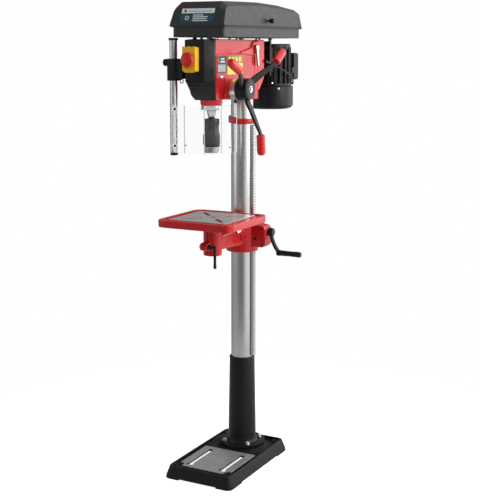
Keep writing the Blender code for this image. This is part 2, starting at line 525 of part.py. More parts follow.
def build_drive():
    rim = rounded_rectangle((-TUB_HALF_X, TUB_FRONT_Y), (TUB_HALF_X, TUB_REAR_Y), 0.014)
    lip = rounded_rectangle((-TUB_HALF_X - TUB_LIP, TUB_FRONT_Y - TUB_LIP),
                            (TUB_HALF_X + TUB_LIP, TUB_REAR_Y + TUB_LIP), 0.018)
    inside = rounded_rectangle((-TUB_HALF_X + TUB_WALL, TUB_FRONT_Y + TUB_WALL),
                               (TUB_HALF_X - TUB_WALL, TUB_REAR_Y - TUB_WALL), 0.011)
    tub = add("belt_tub", prism(rim, TUB_LOW_Z, TUB_TOP_Z - 0.001), PLASTIC)
    fuse(tub, prism(lip, TUB_TOP_Z - 0.003, TUB_TOP_Z))
    cut(tub, prism(inside, TUB_LOW_Z + TUB_WALL, TUB_TOP_Z + 0.01))
    cut(tub, rod(0.026, TUB_LOW_Z - 0.01, TUB_LOW_Z + 0.01, centre=(0, SPINDLE_Y)))
    cut(tub, rod(0.013, TUB_LOW_Z - 0.01, TUB_LOW_Z + 0.01, centre=(0, IDLER_Y)))
    cut(tub, rod(0.030, TUB_LOW_Z - 0.01, TUB_LOW_Z + 0.01, centre=(0, MOTOR_Y)))

    base_z = TUB_TOP_Z + GAP + LID_WALL
    stations = ((-0.3195, 1.5765, 1.5785), (-0.2985, 1.622, 1.630), (-0.283, 1.634, 1.651),
                (-0.155, 1.640, 1.6535),
                (-0.030, 1.643, 1.655), (0.120, 1.637, 1.650), (0.262, 1.622, 1.638),
                (0.2745, 1.5765, 1.5785))
    bm = bmesh.new()
    rows = []
    for y, edge_z, top_z in stations:
        wall = 0.1035 - 0.10 * (edge_z - base_z)
        top_x = 0.076
        row = [(wall, base_z + 0.0015), (wall, edge_z), (top_x, top_z)]
        rows.append([bm.verts.new((x, y, z)) for x, z in [(-x, z) for x, z in row] + row[::-1]])
    for a, b in zip(rows, rows[1:]):
        for i in range(len(a) - 1):
            bm.faces.new((a[i], a[i + 1], b[i + 1], b[i]))
    flange_x, flange_front, flange_rear = -LID_HINGE_X, -0.3215, 0.2805
    for row in (rows[0], rows[-1]):
        bm.faces.new(row)
    bm.normal_update()
    rim_edges = [edge for edge in bm.edges if edge.is_boundary]
    grown = bmesh.ops.extrude_edge_only(bm, edges=rim_edges)["geom"]
    for vert in (item for item in grown if isinstance(item, bmesh.types.BMVert)):
        vert.co.x = math.copysign(flange_x, vert.co.x)
        vert.co.z = base_z
        if vert.co.y < flange_front + 0.006:
            vert.co.y = flange_front
        if vert.co.y > flange_rear - 0.012:
            vert.co.y = flange_rear
    lid_axis = group("lid_hinge", (LID_HINGE_X, 0, TUB_TOP_Z))
    lid = add("lid", bm, PLASTIC, lid_axis)
    shell = lid.modifiers.new("wall", "SOLIDIFY")
    shell.thickness = LID_WALL
    shell.offset = -1.0
    knob_y, knob_z = 0.010, 1.593
    cut(lid, rod(0.0035, 0.07, 0.12, "X", (knob_y, knob_z), 12))
    add("lid_knob", turned(((0, 0.094), (0.003, 0.094), (0.003, 0.1030), (0.0065, 0.1032), (0.0085, 0.106),
                            (0.0085, 0.1190), (0.007, 0.1205), (0, 0.1205)), 16, "X", (knob_y, knob_z)),
        PLASTIC, lid_axis)

    spindle_axis, idler_axis = (0, SPINDLE_Y), (0, IDLER_Y)
    hub_low = HEAD_TOP_Z + 0.001
    add("spindle_pulley", turned(cone_pulley(SPINDLE_STEPS, 0.0090, hub_low), 16, centre=spindle_axis,
                                 ring=True), ALUMINIUM)
    add("idler_pulley", turned(cone_pulley(IDLER_STEPS, 0.0065, 1.546), 16, centre=idler_axis, ring=True),
        ALUMINIUM)
    add("motor_pulley", turned(cone_pulley(MOTOR_STEPS, 0.0078, 1.548), 16, centre=(0, MOTOR_Y),
                               ring=True), ALUMINIUM)
    add("idler_arm", turned(((0, 1.492), (0.008, 1.492), (0.008, 1.5435), (0.006, 1.5435), (0.006, 1.607),
                             (0, 1.607)), 16,
                            centre=idler_axis), STEEL)
    add("rear_belt", belt(2, IDLER_Y, IDLER_STEPS[2], MOTOR_Y, MOTOR_STEPS[2]), RUBBER)
    add("front_belt", belt(0, SPINDLE_Y, SPINDLE_STEPS[0], IDLER_Y, IDLER_STEPS[0]), RUBBER)


def build_motor():
    fins = []
    for i in range(FIN_COUNT):
        for offset, radius in ((0.0, MOTOR_R), (0.28, MOTOR_R), (0.45, MOTOR_R - 0.009),
                               (0.83, MOTOR_R - 0.009)):
            angle = math.tau * (i + offset) / FIN_COUNT
            fins.append((radius * math.cos(angle), MOTOR_Y + radius * math.sin(angle)))
    low, high = MOTOR_LOW_Z, MOTOR_TOP_Z
    motor = add("motor_body", prism(fins, low, high - 0.012), BLACK)
    fuse(motor, rod(MOTOR_R - 0.004, high - 0.02, high, centre=(0, MOTOR_Y), count=FINE))
    fuse(motor, block((-0.060, 0.100, 1.400), (0.060, 0.112, 1.524), 0.004))
    fuse(motor, block((-0.045, 0.105, 1.415), (0.045, 0.175, 1.500)))
    for x in (-0.035, 0.035):
        fuse(motor, rod(0.0082, 0.047, 0.106, "Y", (x, 1.500), 12))
    cut(motor, rod(0.052, low - 0.01, high - 0.010, centre=(0, MOTOR_Y)))
    cut(motor, rod(0.0085, high - 0.02, high + 0.02, centre=(0, MOTOR_Y), count=16))
    cut(motor, block((-0.010, MOTOR_Y + 0.040, 1.420), (0.010, MOTOR_Y + 0.110, 1.440)))
    cover_low = FAN_COVER_LOW_Z
    cover = add("fan_cover", turned(
        ((0, cover_low), (0.064, cover_low), (0.079, cover_low + 0.004), (FAN_COVER_R, cover_low + 0.014),
         (FAN_COVER_R, low - GAP),
         (0.083, low - GAP), (0.083, cover_low + 0.015), (0.076, cover_low + 0.007),
         (0.063, cover_low + 0.003),
         (0, cover_low + 0.003)), FINE, centre=(0, MOTOR_Y)), BLACK)
    for i in range(12):
        angle = math.tau * i / 12
        vent = block((0.022, -0.0035, cover_low - 0.01), (0.056, 0.0035, cover_low + 0.01))
        cut(cover, moved(vent, Matrix.Translation((0, MOTOR_Y, 0)) @ Matrix.Rotation(angle, 4, "Z")))
    add("motor_rotor", turned(((0, 1.300), (0.060, 1.300), (0.060, 1.330), (0.020, 1.332),
                               (0.0075, 1.3325), (0.0075, 1.380),
                               (0.048, 1.380), (0.048, 1.480), (0.0075, 1.480), (0.0075, 1.611),
                               (0, 1.611)), 24,
                              centre=(0, MOTOR_Y)), STEEL)
    box = add("terminal_box", block((-0.060, 0.3015, 1.382), (0.060, 0.343, 1.482), 0.008), BLACK)
    soften(box, 0.002)
    fuse(box, block((GLAND[0] - 0.010, GLAND[1] - 0.0075, 1.408), (GLAND[0] + 0.010, 0.305, 1.428), 0.003))
    fuse(box, turned(((0, 1.398), (0.0065, 1.398), (0.0075, 1.404), (0.0075, 1.412), (0, 1.412)), 12, centre=GLAND))
    cut(box, rod(0.0035, 1.38, 1.4145, centre=GLAND, count=12))

    route = [Vector((*GLAND, 1.412)), Vector((*GLAND, 1.404))]
    outward = Vector((0.60, -0.80, 0.0))
    for degrees in range(180, 309, 32):
        angle = math.radians(degrees)
        route.append(Vector((*GLAND, LEAD_BEND_Z + LEAD_BEND_R * math.sin(angle)))
                     + outward * LEAD_BEND_R * (1 + math.cos(angle)))
    route += [Vector(point) for point in (
        (0.0865, 0.2365, 1.3830), (0.0915, 0.2155, 1.3935), (0.0925, 0.1940, 1.4035),
        (0.0900, 0.1725, 1.4130), (0.0850, 0.1515, 1.4220), (0.0785, 0.1310, 1.4310),
        (0.0710, 0.1110, 1.4390), (0.0640, 0.0895, 1.4465), (0.0580, 0.0665, 1.4530))]
    curve = bpy.data.curves.new("motor_lead", "CURVE")
    curve.dimensions = "3D"
    curve.bevel_depth = 0.0028
    curve.bevel_resolution = 2
    curve.use_fill_caps = True
    points = smooth_route(route, 3)
    spline = curve.splines.new("POLY")
    spline.points.add(len(points) - 1)
    for slot, point in zip(spline.points, points):
        slot.co = (*point, 1.0)
    curve.materials.append(RUBBER)
    lead = bpy.data.objects.new("motor_lead", curve)
    bpy.context.scene.collection.objects.link(lead)
    lead.parent = MACHINE


def smooth_route(route, per_span):
    """Points on a cubic B-spline that starts and ends on the route's ends."""
    ends = [route[0] * 2 - route[1], *route, route[-1] * 2 - route[-2]]
    points = []
    for a, b, c, d in zip(ends, ends[1:], ends[2:], ends[3:]):
        for i in range(per_span):
            t = i / per_span
            points.append((a * (1 - t) ** 3 + b * (3 * t ** 3 - 6 * t ** 2 + 4)
                           + c * (3 * t + 3 * t ** 2 - 3 * t ** 3 + 1) + d * t ** 3) / 6)
    return points + [route[-1]]


# Table, its arm, the lifting bracket and the crank.
def build_table():
    count = round((RACK_TOP_Z - RACK_LOW_Z) / RACK_PITCH)
    pitch = (RACK_TOP_Z - RACK_LOW_Z) / count
    teeth = [(RACK_BACK_X, RACK_LOW_Z)]
    for i in range(count):
        teeth.append((RACK_FACE_X - RACK_TOOTH, RACK_LOW_Z + pitch * i))
        teeth.append((RACK_FACE_X, RACK_LOW_Z + pitch * (i + 0.5)))
    teeth += [(RACK_FACE_X - RACK_TOOTH, RACK_TOP_Z), (RACK_BACK_X, RACK_TOP_Z)]
    add("column_rack", prism(teeth, -RACK_HALF_Y, RACK_HALF_Y, "Y"), STEEL)

    carriage = group("table_carriage", (0, 0, CRANK_Z))
    bracket = add("bracket", turned(((0, BRACKET_LOW_Z), (BRACKET_R - 0.002, BRACKET_LOW_Z),
                                     (BRACKET_R, BRACKET_LOW_Z + 0.002),
                                     (BRACKET_R, BRACKET_TOP_Z - 0.002), (BRACKET_R - 0.002, BRACKET_TOP_Z),
                                     (0, BRACKET_TOP_Z)), FINE), RED, carriage)
    house = [(0.030, 0.795), (0.094, 0.795), (0.106, 0.807), (0.106, 0.8600), (0.098, 0.872),
             (0.074, 0.876), (0.030, 0.876)]
    fuse(bracket, prism(house, -0.027, 0.027, "Y"))
    fuse(bracket, rod(0.038, -0.065, -0.030, "Y", (0, TILT_Z), ROUND))
    fuse(bracket, block((-0.082, -0.019, 0.800), (-0.045, 0.019, 0.850), 0.003))
    cut(bracket, rod(COLUMN_R + 0.0005, 0.75, 0.90, count=FINE))
    cut(bracket, block((0.030, -RACK_HALF_Y - 0.001, 0.75),
                       (RACK_FACE_X + 0.0006, RACK_HALF_Y + 0.001, 0.90)))
    cut(bracket, block((0.045, -0.0105, 0.8085), (0.094, 0.0105, 0.8625)))
    cut(bracket, rod(0.0068, 0.08, 0.12, "X", (0, CRANK_Z), 16))
    cut(bracket, rod(0.0053, -0.04, 0.04, "Y", (GEAR_X, GEAR_Z), 16))
    cut(bracket, block((-0.09, -0.002, 0.76), (-0.035, 0.002, 0.88)))
    cut(bracket, rod(0.0056, -0.03, 0.03, "Y", (LOCK_X, LOCK_Z), 16))

    gear_outline = []
    teeth_count = 14
    for i in range(teeth_count):
        for offset, radius in ((0.0, GEAR_R), (0.22, GEAR_R), (0.42, GEAR_R - 0.0028),
                               (0.8, GEAR_R - 0.0028)):
            angle = math.tau * (i + offset) / teeth_count
            gear_outline.append((GEAR_X + radius * math.cos(angle), GEAR_Z + radius * math.sin(angle)))
    gear = add("lift_gear", prism(gear_outline, -0.0085, 0.0085, "Y"), STEEL, carriage, (GEAR_X, 0, GEAR_Z))
    fuse(gear, rod(0.0050, -0.0255, 0.0255, "Y", (GEAR_X, GEAR_Z), 16))
    worm = [(0, 0.055), (0.0062, 0.055)]
    for i in range(6):
        x = 0.0565 + 0.0058 * i
        worm += [(0.0062, x), (WORM_R, x + 0.0016), (WORM_R, x + 0.0032), (0.0062, x + 0.0048)]
    worm += [(0.0062, 0.124), (0, 0.124)]
    crank_axis = group("crank_axis", (0.11, 0, CRANK_Z))
    add("crank_shaft", turned(worm, 12, "X", (0, CRANK_Z)), STEEL, crank_axis)

    drop_x = 0.150
    arm_route = []
    for i in range(9):
        t = i / 8
        x = 0.118 + (drop_x - 0.118) * (1 - math.cos(math.pi * t)) / 2
        arm_route.append(Vector((x, 0.0, CRANK_Z - CRANK_THROW * math.sin(math.pi * t / 2))))
    arm_rings = []
    for i, point in enumerate(arm_route):
        ahead = arm_route[min(i + 1, 8)] - arm_route[max(i - 1, 0)]
        side = Vector((0, 1, 0))
        outward = side.cross(ahead).normalized()
        arm_rings.append([point + outward * 0.0070 * math.cos(math.tau * k / 12)
                          + side * 0.0095 * math.sin(math.tau * k / 12) for k in range(12)])
    crank = add("crank_arm", loft(arm_rings), BLACK, crank_axis)
    fuse(crank, turned(((0, 0.1085), (CRANK_HUB_R, 0.1085), (CRANK_HUB_R, 0.124), (0.0125, 0.127),
                        (0, 0.127)), 24, "X",
                       (0, CRANK_Z)))
    fuse(crank, turned(((0, 0.142), (0.0105, 0.142), (0.0105, 0.1555), (0.004, 0.1555), (0.004, 0.228),
                        (0, 0.228)), 16, "X",
                       (0, CRANK_Z - CRANK_THROW)))
    cut(crank, rod(0.0065, 0.10, 0.1245, "X", (0, CRANK_Z), 16))
    add("crank_grip", turned(((0, 0.2295), (0.0045, 0.2295), (0.0045, 0.1562), (0.0085, 0.1562),
                              (0.0100, 0.162),
                              (0.0100, 0.229), (0.0082, 0.2345), (0, 0.235)), 20, "X",
                             (0, CRANK_Z - CRANK_THROW)), BLACK, crank_axis,
        (0.16, 0, CRANK_Z - CRANK_THROW))

    lock = add("column_lock", rod(0.0053, -0.040, 0.024, "Y", (LOCK_X, LOCK_Z), 16), BLACK, carriage,
               (LOCK_X, -0.03, LOCK_Z))
    fuse(lock, rod(0.009, -0.040, -0.0195, "Y", (LOCK_X, LOCK_Z), 16))
    fuse(lock, turned(((0, 0.781), (0.0055, 0.783), (0.0055, LOCK_Z), (0, LOCK_Z)), 12,
                      centre=(LOCK_X, -0.031)))

    tilt_axis = group("tilt_axis", (0, ARM_FACE_Y, TILT_Z))
    arm = add("table_arm", loft([[(x, y, z) for x, z in rounded_rectangle((-hx, low), (hx, high), 0.008)]
                                 for y, hx, low, high in ((ARM_FACE_Y, 0.033, 0.803, 0.867),
                                                          (-0.10, 0.029, 0.806, 0.864),
                                                          (-0.19, 0.026, 0.809, 0.864),
                                                          (TABLE_Y, 0.022, 0.815, 0.860))]),
              RED, tilt_axis)
    fuse(arm, turned(((0, CLAMP_LOW_Z), (STEM_CLAMP_R - 0.002, CLAMP_LOW_Z),
                      (STEM_CLAMP_R, CLAMP_LOW_Z + 0.002),
                      (STEM_CLAMP_R, CLAMP_TOP_Z), (0, CLAMP_TOP_Z)), FINE, centre=(0, TABLE_Y)))
    fuse(arm, rod(0.038, -0.076, ARM_FACE_Y - GAP, "Y", (0, TILT_Z), ROUND))
    fuse(arm, rod(LOBE_R, -0.018, 0.010, "X", (LOBE_Y, LOBE_Z)))
    fuse(arm, block((-0.018, LOBE_Y, LOBE_Z - 0.014), (0.010, TABLE_Y - 0.02, LOBE_Z + 0.014)))
    cut(arm, rod(STEM_R + 0.0004, 0.78, 0.91, centre=(0, TABLE_Y), count=ROUND))
    cut(arm, block((-0.0055, LOBE_Y - 0.03, 0.78), (-0.0025, TABLE_Y, 0.91)))
    cut(arm, rod(0.0046, -0.03, 0.02, "X", (LOBE_Y, LOBE_Z), 12))

    lock = add("table_lock", rod(0.0042, -0.022, 0.030, "X", (LOBE_Y, LOBE_Z), 12), BLACK, tilt_axis,
               (0.02, LOBE_Y, LOBE_Z))
    fuse(lock, rod(0.0085, 0.0105, 0.022, "X", (LOBE_Y, LOBE_Z), 16))
    fuse(lock, rod(0.0052, 0.015, 0.037, "X", (LOBE_Y, LOBE_Z), 12))
    fuse(lock, turned(((0, LOBE_Z - 0.073), (0.0045, LOBE_Z - 0.0725), (0.0052, LOBE_Z - 0.071),
                       (0.0052, LOBE_Z + 0.003),
                       (0, LOBE_Z + 0.005)), 12, centre=(0.034, LOBE_Y)))

    table_axis = group("table_axis", (0, TABLE_Y, TABLE_TOP_Z))

    def square(half, radius):
        return rounded_rectangle((-half, TABLE_Y - half), (half, TABLE_Y + half), radius, 6)

    table = add("table_top", prism(square(TABLE_HALF, TABLE_CORNER), TABLE_LOW_Z, TABLE_TOP_Z), RED,
                table_axis)
    soften(table, 0.0025)
    cut(table, prism(square(TABLE_HALF - 0.010, TABLE_CORNER - 0.010), TABLE_LOW_Z - 0.01,
                     TABLE_LOW_Z + 0.012))
    fuse(table, rod(0.030, CLAMP_TOP_Z + GAP, TABLE_TOP_Z - 0.005, centre=(0, TABLE_Y)))
    fuse(table, rod(STEM_R, CLAMP_LOW_Z + 0.004, TABLE_TOP_Z - 0.005, centre=(0, TABLE_Y)))
    gutter = combine(table, prism(square(PAD_HALF + GUTTER, 0.030), TABLE_TOP_Z - 0.003,
                                  TABLE_TOP_Z + 0.01), "DIFFERENCE")
    cut(gutter, prism(square(PAD_HALF, 0.010), TABLE_TOP_Z - 0.02, TABLE_TOP_Z + 0.02))
    cut(table, rod(0.0105, 0.86, 0.94, centre=(0, TABLE_Y), count=24))
    for i in range(4):
        slot = block((0.036, -0.0065, 0.880), (0.118, 0.0065, 0.94))
        cut(table, moved(slot, Matrix.Translation((0, TABLE_Y,
                                                   0)) @ Matrix.Rotation(math.radians(45 + 90 * i), 4,
                                                           "Z")))


# Chuck guard: grooved rail, its clamp and the folded clear shield.
def build_guard():
    centre = (RAIL_X, RAIL_Y)
    outline = []
    for i in range(8):
        for offset, radius in ((-0.30, RAIL_R), (0.0, RAIL_R), (0.30, RAIL_R), (0.34, RAIL_R - 0.003),
                               (0.66, RAIL_R - 0.003)):
            angle = math.tau * (i + offset) / 8
            outline.append((RAIL_X + radius * math.cos(angle), RAIL_Y + radius * math.sin(angle)))
    guard_axis = group("guard_axis", (RAIL_X, RAIL_Y, 1.30))
    add("guard_rail", prism(outline, RAIL_LOW_Z, RAIL_TOP_Z), ALUMINIUM, guard_axis)

    clamp = add("guard_clamp", block((CLAMP_FACE_X, -0.318, 1.392), (-0.081, -0.282, 1.465), 0.008),
                PLASTIC)
    soften(clamp, 0.001)
    fuse(clamp, block((-0.095, -0.313, 1.398), (-0.0575 - GAP, -0.287, 1.459), 0.002))
    cut(clamp, rod(RAIL_R + 0.0007, 1.38, 1.48, centre=centre, count=ROUND))
    cut(clamp, rod(0.0035, -0.15, -0.111, "X", (RAIL_Y, GUARD_KNOB_Z), 12))
    knob_profile = ((0, -0.1155), (0.003, -0.1155), (0.003, GUARD_KNOB_X + 0.001), (0.010, GUARD_KNOB_X),
                    (0.012, GUARD_KNOB_X - 0.002), (0.012, GUARD_KNOB_X - 0.0165),
                    (0.009, GUARD_KNOB_X - 0.018), (0, GUARD_KNOB_X - 0.018))
    add("guard_knob", turned(knob_profile, 20, "X", (RAIL_Y, GUARD_KNOB_Z)), PLASTIC,
        pivot=(GUARD_KNOB_X, RAIL_Y, GUARD_KNOB_Z))

    path = ((RAIL_X + RAIL_R * 0.2, RAIL_Y - RAIL_R - 0.0018), (-0.070, -0.314), (-0.042, -0.330),
            (0.034, -0.330),
            (0.078, -0.292), (0.092, -0.214))
    bm = bmesh.new()
    rows = [[bm.verts.new((x, y, z)) for x, y in path] for z in (SHIELD_LOW_Z, SHIELD_TOP_Z)]
    for i in range(len(path) - 1):
        bm.faces.new((rows[0][i], rows[0][i + 1], rows[1][i + 1], rows[1][i]))
    shield = add("guard_shield", bm, CLEAR, guard_axis)
    wall = shield.modifiers.new("wall", "SOLIDIFY")
    wall.thickness = SHIELD_WALL
    wall.offset = 0.0


build_stand()
build_head()
build_spindle()
build_feed()
build_drive()
build_motor()
build_table()
build_guard()
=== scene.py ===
"""Looks of the floor-standing pillar drill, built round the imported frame.

Shapes are written in machine coordinates, in metres: Z is the column's axis at floor
level, the front of the machine faces -Y and the feed levers are on the +X side. Every
piece is moved by PLACE into the frame's coordinates, and rides on its CAD body.
"""
from math import asin, copysign, cos, pi, radians, sin, tan, tau

import bmesh
import bpy
from mathutils import Matrix, Vector


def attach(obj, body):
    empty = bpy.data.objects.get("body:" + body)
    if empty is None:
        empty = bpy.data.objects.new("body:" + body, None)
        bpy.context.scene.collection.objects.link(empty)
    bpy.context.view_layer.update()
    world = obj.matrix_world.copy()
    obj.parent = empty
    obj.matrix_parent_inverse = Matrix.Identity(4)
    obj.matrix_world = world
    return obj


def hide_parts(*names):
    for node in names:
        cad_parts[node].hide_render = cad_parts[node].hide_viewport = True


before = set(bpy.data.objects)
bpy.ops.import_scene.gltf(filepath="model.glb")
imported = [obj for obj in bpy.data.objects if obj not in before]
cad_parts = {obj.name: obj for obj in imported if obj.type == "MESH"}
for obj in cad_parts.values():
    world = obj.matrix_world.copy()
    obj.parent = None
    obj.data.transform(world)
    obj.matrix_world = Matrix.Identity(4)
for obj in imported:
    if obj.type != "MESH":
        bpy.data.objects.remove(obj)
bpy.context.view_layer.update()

PLACE = Vector((-0.045, 0.0246, 0.0))
GAP = 0.0003
FINE, ROUND, SMALL = 96, 48, 24

SPINDLE_Y = -0.222
FEED_Y, FEED_Z = -0.185, 1.3635
IDLER_Y, MOTOR_Y = -0.004, 0.22
TABLE_Y, TABLE_TOP_Z = -0.217, 0.925
TILT_Z, ARM_FACE_Y = 0.835, -0.0655
CRANK_Z, CRANK_THROW = 0.85, 0.073
RAIL_X, RAIL_Y = -0.101, -0.3
LEVER, GLAND = (-0.014, 1.501), (0.05, 0.2945)
SPINDLE, IDLER, MOTOR, TABLE = ((0, y) for y in (SPINDLE_Y, IDLER_Y, MOTOR_Y, TABLE_Y))
FEED, RAIL = (FEED_Y, FEED_Z), (RAIL_X, RAIL_Y)

COLUMN_R, COLUMN_BORE_R = 0.04, 0.0403
PAD_TOP_Z, BASE_TOP_Z, FLANGE_TOP_Z = 0.042, 0.045, 0.059
FLOOR_BOLTS_X, FLOOR_BOLTS_Y = 0.098, (0.082, -0.29)
PANEL_X = 0.0575
SWITCH_X, SWITCH_Z = -0.008, 1.462
NOSE_LOW_Z, NOSE_FOLD_Z, NOSE_TOP_Z = 1.327, 1.392, 1.527
LEVER_ANGLES, ARM_LEAN = (5.0, 125.0, 245.0), 0.41
ARM_ROOT_X, ARM_ROOT_REACH, ARM_BEND_REACH, GRIP_REACH = 0.114, 0.035, 0.151, 0.153
TUB_LOW_Z, LID_LOW_Z = 1.535, 1.571 + GAP
PULLEY_LOW_Z, PULLEY_STEP, GROOVE_DEPTH = 1.552, 0.019, 0.007
MOTOR_LOW_Z, MOTOR_TOP_Z, FAN_COVER_LOW_Z = 1.361, 1.515, 1.277
GEAR_AXIS, COLUMN_LOCK = (0.0665, 0.826), (-0.066, 0.825)
LOBE_Y, LOBE_Z = LOBE = (-0.262, 0.828)
TABLE_HALF, TABLE_FACE_HALF, TABLE_SLOT_HALF = 0.145, 0.111, 0.0065
RAIL_R, RAIL_KNOB_X, RAIL_KNOB = 0.013, -0.1195, (RAIL_Y, 1.452)
SHIELD_LOW_Z, SHIELD_TOP_Z, SHIELD_SCREWS_Z = 1.153, 1.312, (1.298, 1.175)


def linked(name, data):
    obj = bpy.data.objects.new(name, data)
    bpy.context.scene.collection.objects.link(obj)
    return obj


# Camera, floor and light. The camera looks at the column from in front and to its right.
VIEW_TURN, VIEW_PITCH = radians(28.147), radians(8.976)
VIEW_DISTANCE, VIEW_HEIGHT, VIEW_ASIDE = 3.85, 1.5, -0.0098
LENS_MM, SENSOR_MM, LENS_SHIFT = 77.5, 36.0, -0.064
FLOOR_RADIUS, FLOOR_DROP = 1.3, 0.0005
FLOOR_GLOW, FLOOR_GLOW_SEEN = 0.16, 0.9
LIGHT_WAY = (0.86, 0.5, 0.1)
SKY_LEVELS = ((0.0, 0.42), (0.3, 0.2), (0.55, 0.24), (0.8, 0.95), (1.0, 1.15))
LAMPS = (
    ("key", (2.6, 0.3, 2.1), 1.7, 44.0), ("rear_right", (1.7, 2.1, 1.5), 1.6, 18.0),
    ("fill", (-2.4, -2.0, 1.7), 1.5, 9.0), ("front", (0.4, -3.2, 2.4), 1.4, 5.0),
    ("top", (0.1, 0.1, 3.6), 1.8, 11.0))
LAMP_AIM = Vector((0, 0, 1.0))


def build_camera():
    forward = Vector((-sin(VIEW_TURN), cos(VIEW_TURN), 0))
    right = Vector((cos(VIEW_TURN), sin(VIEW_TURN), 0))
    data = bpy.data.cameras.new("camera")
    data.lens, data.sensor_width, data.shift_y = LENS_MM, SENSOR_MM, LENS_SHIFT
    data.clip_start, data.clip_end = 0.1, 60.0
    camera = linked("camera", data)
    camera.location = PLACE - forward * VIEW_DISTANCE + right * VIEW_ASIDE + Vector((0, 0, VIEW_HEIGHT))
    camera.rotation_euler = (pi / 2 - VIEW_PITCH, 0, VIEW_TURN)
    bpy.context.scene.camera = camera
    bpy.context.scene.view_settings.view_transform = "Standard"


def seen_directly(nodes, links):
    """1 where the camera looks straight at a surface or through something clear, and 0 elsewhere."""
    path, seen = nodes.new("ShaderNodeLightPath"), nodes.new("ShaderNodeMath")
    seen.operation = "MAXIMUM"
    links.new(path.outputs["Is Camera Ray"], seen.inputs[0])
    links.new(path.outputs["Is Transmission Ray"], seen.inputs[1])
    return seen.outputs["Value"]


def build_floor():
    bm = bmesh.new()
    bmesh.ops.create_circle(bm, cap_ends=True, radius=FLOOR_RADIUS, segments=96)
    mesh = bpy.data.meshes.new("floor")
    bm.to_mesh(mesh)
    bm.free()
    floor = linked("floor", mesh)
    floor.location.z = -FLOOR_DROP
    made = material("pale_floor", (0.55, 0.55, 0.55), 0.9,
        sockets={"Specular IOR Level": 0.1, "Emission Color": (1, 1, 1, 1)})
    nodes, links = made.node_tree.nodes, made.node_tree.links
    glow = nodes.new("ShaderNodeMapRange")
    glow.inputs["To Min"].default_value, glow.inputs["To Max"].default_value = FLOOR_GLOW, FLOOR_GLOW_SEEN
    links.new(seen_directly(nodes, links), glow.inputs["Value"])
    links.new(glow.outputs["Result"], nodes["Principled BSDF"].inputs["Emission Strength"])
    mesh.materials.append(made)


def build_world():
    world = bpy.data.worlds.new("studio")
    bpy.context.scene.world = world
    world.use_nodes = True
    world.node_tree.nodes.clear()
    nodes, links = world.node_tree.nodes, world.node_tree.links
    coordinates, towards, scale, ramp, light, plain, mix, output = (nodes.new(f"ShaderNode{kind}")
        for kind in ("TexCoord", "VectorMath", "MapRange", "ValToRGB", "Background", "Background",
        "MixShader", "OutputWorld"))
    towards.operation = "DOT_PRODUCT"
    towards.inputs[1].default_value = LIGHT_WAY
    ramp.color_ramp.interpolation = "EASE"
    for i, (place, level) in enumerate(SKY_LEVELS):
        element = ramp.color_ramp.elements[i] if i < 2 else ramp.color_ramp.elements.new(place)
        element.position, element.color = place, (level, level, level * 1.01, 1)
    scale.inputs["From Min"].default_value = -1.0
    plain.inputs["Color"].default_value = (1, 1, 1, 1)
    plain.inputs["Strength"].default_value = 1.0
    for start, end in ((coordinates.outputs["Generated"], towards.inputs[0]),
            (towards.outputs["Value"], scale.inputs["Value"]), (scale.outputs["Result"], ramp.inputs["Fac"]),
            (ramp.outputs["Color"], light.inputs["Color"]), (seen_directly(nodes, links), mix.inputs["Fac"]),
            (light.outputs["Background"], mix.inputs[1]), (plain.outputs["Background"], mix.inputs[2]),
            (mix.outputs["Shader"], output.inputs["Surface"])):
        links.new(start, end)


def build_lamps():
    for name, place, size, power in LAMPS:
        lamp = bpy.data.lights.new(name, "AREA")
        lamp.shape, lamp.size, lamp.size_y, lamp.energy = "RECTANGLE", size, size * 1.3, power
        lamp_object = linked(name, lamp)
        lamp_object.location = place
        lamp_object.rotation_euler = (LAMP_AIM - Vector(place)).to_track_quat("-Z", "Y").to_euler()


# Materials. Sizes of the texture are in marks per metre.
def material(name, colour, roughness, metallic=0.0, sockets=None):
    made = bpy.data.materials.new(name)
    made.use_nodes = True
    inputs = made.node_tree.nodes["Principled BSDF"].inputs
    for socket, value in {"Base Color": (*colour, 1), "Roughness": roughness, "Metallic": metallic,
            **(sockets or {})}.items():
        inputs[socket].default_value = value
    made.diffuse_color = (*colour, 1)
    return made


def noise(made, scale, detail=3.0, stretch=(1, 1, 1)):
    nodes, links = made.node_tree.nodes, made.node_tree.links
    coordinates, mapping, texture = (nodes.new(f"ShaderNode{kind}")
        for kind in ("TexCoord", "Mapping", "TexNoise"))
    mapping.inputs["Scale"].default_value = stretch
    texture.inputs["Scale"].default_value = scale
    texture.inputs["Detail"].default_value = detail
    links.new(coordinates.outputs["Object"], mapping.inputs["Vector"])
    links.new(mapping.outputs["Vector"], texture.inputs["Vector"])
    return texture.outputs["Fac"]


def ranged(made, value, low, high, start=0.3, end=0.7):
    """A value spread from start to end mapped to low to high."""
    node = made.node_tree.nodes.new("ShaderNodeMapRange")
    for socket, number in (("From Min", start), ("From Max", end), ("To Min", low), ("To Max", high)):
        node.inputs[socket].default_value = number
    made.node_tree.links.new(value, node.inputs["Value"])
    return node.outputs["Result"]


def rough_spots(made, low, high, scale, stretch=(1, 1, 1)):
    """Roughness that wanders between low and high."""
    shader = made.node_tree.nodes["Principled BSDF"]
    value = ranged(made, noise(made, scale, 4.0, stretch), low, high)
    made.node_tree.links.new(value, shader.inputs["Roughness"])


def tinted(made, other, scale, stretch=(1, 1, 1)):
    """The base colour, mixed in soft patches with another."""
    shader = made.node_tree.nodes["Principled BSDF"]
    mix = made.node_tree.nodes.new("ShaderNodeMix")
    mix.data_type = "RGBA"
    mix.inputs[6].default_value = shader.inputs["Base Color"].default_value
    mix.inputs[7].default_value = (*other, 1)
    made.node_tree.links.new(ranged(made, noise(made, scale, 4.0, stretch), 0.0, 1.0), mix.inputs["Factor"])
    made.node_tree.links.new(mix.outputs[2], shader.inputs["Base Color"])


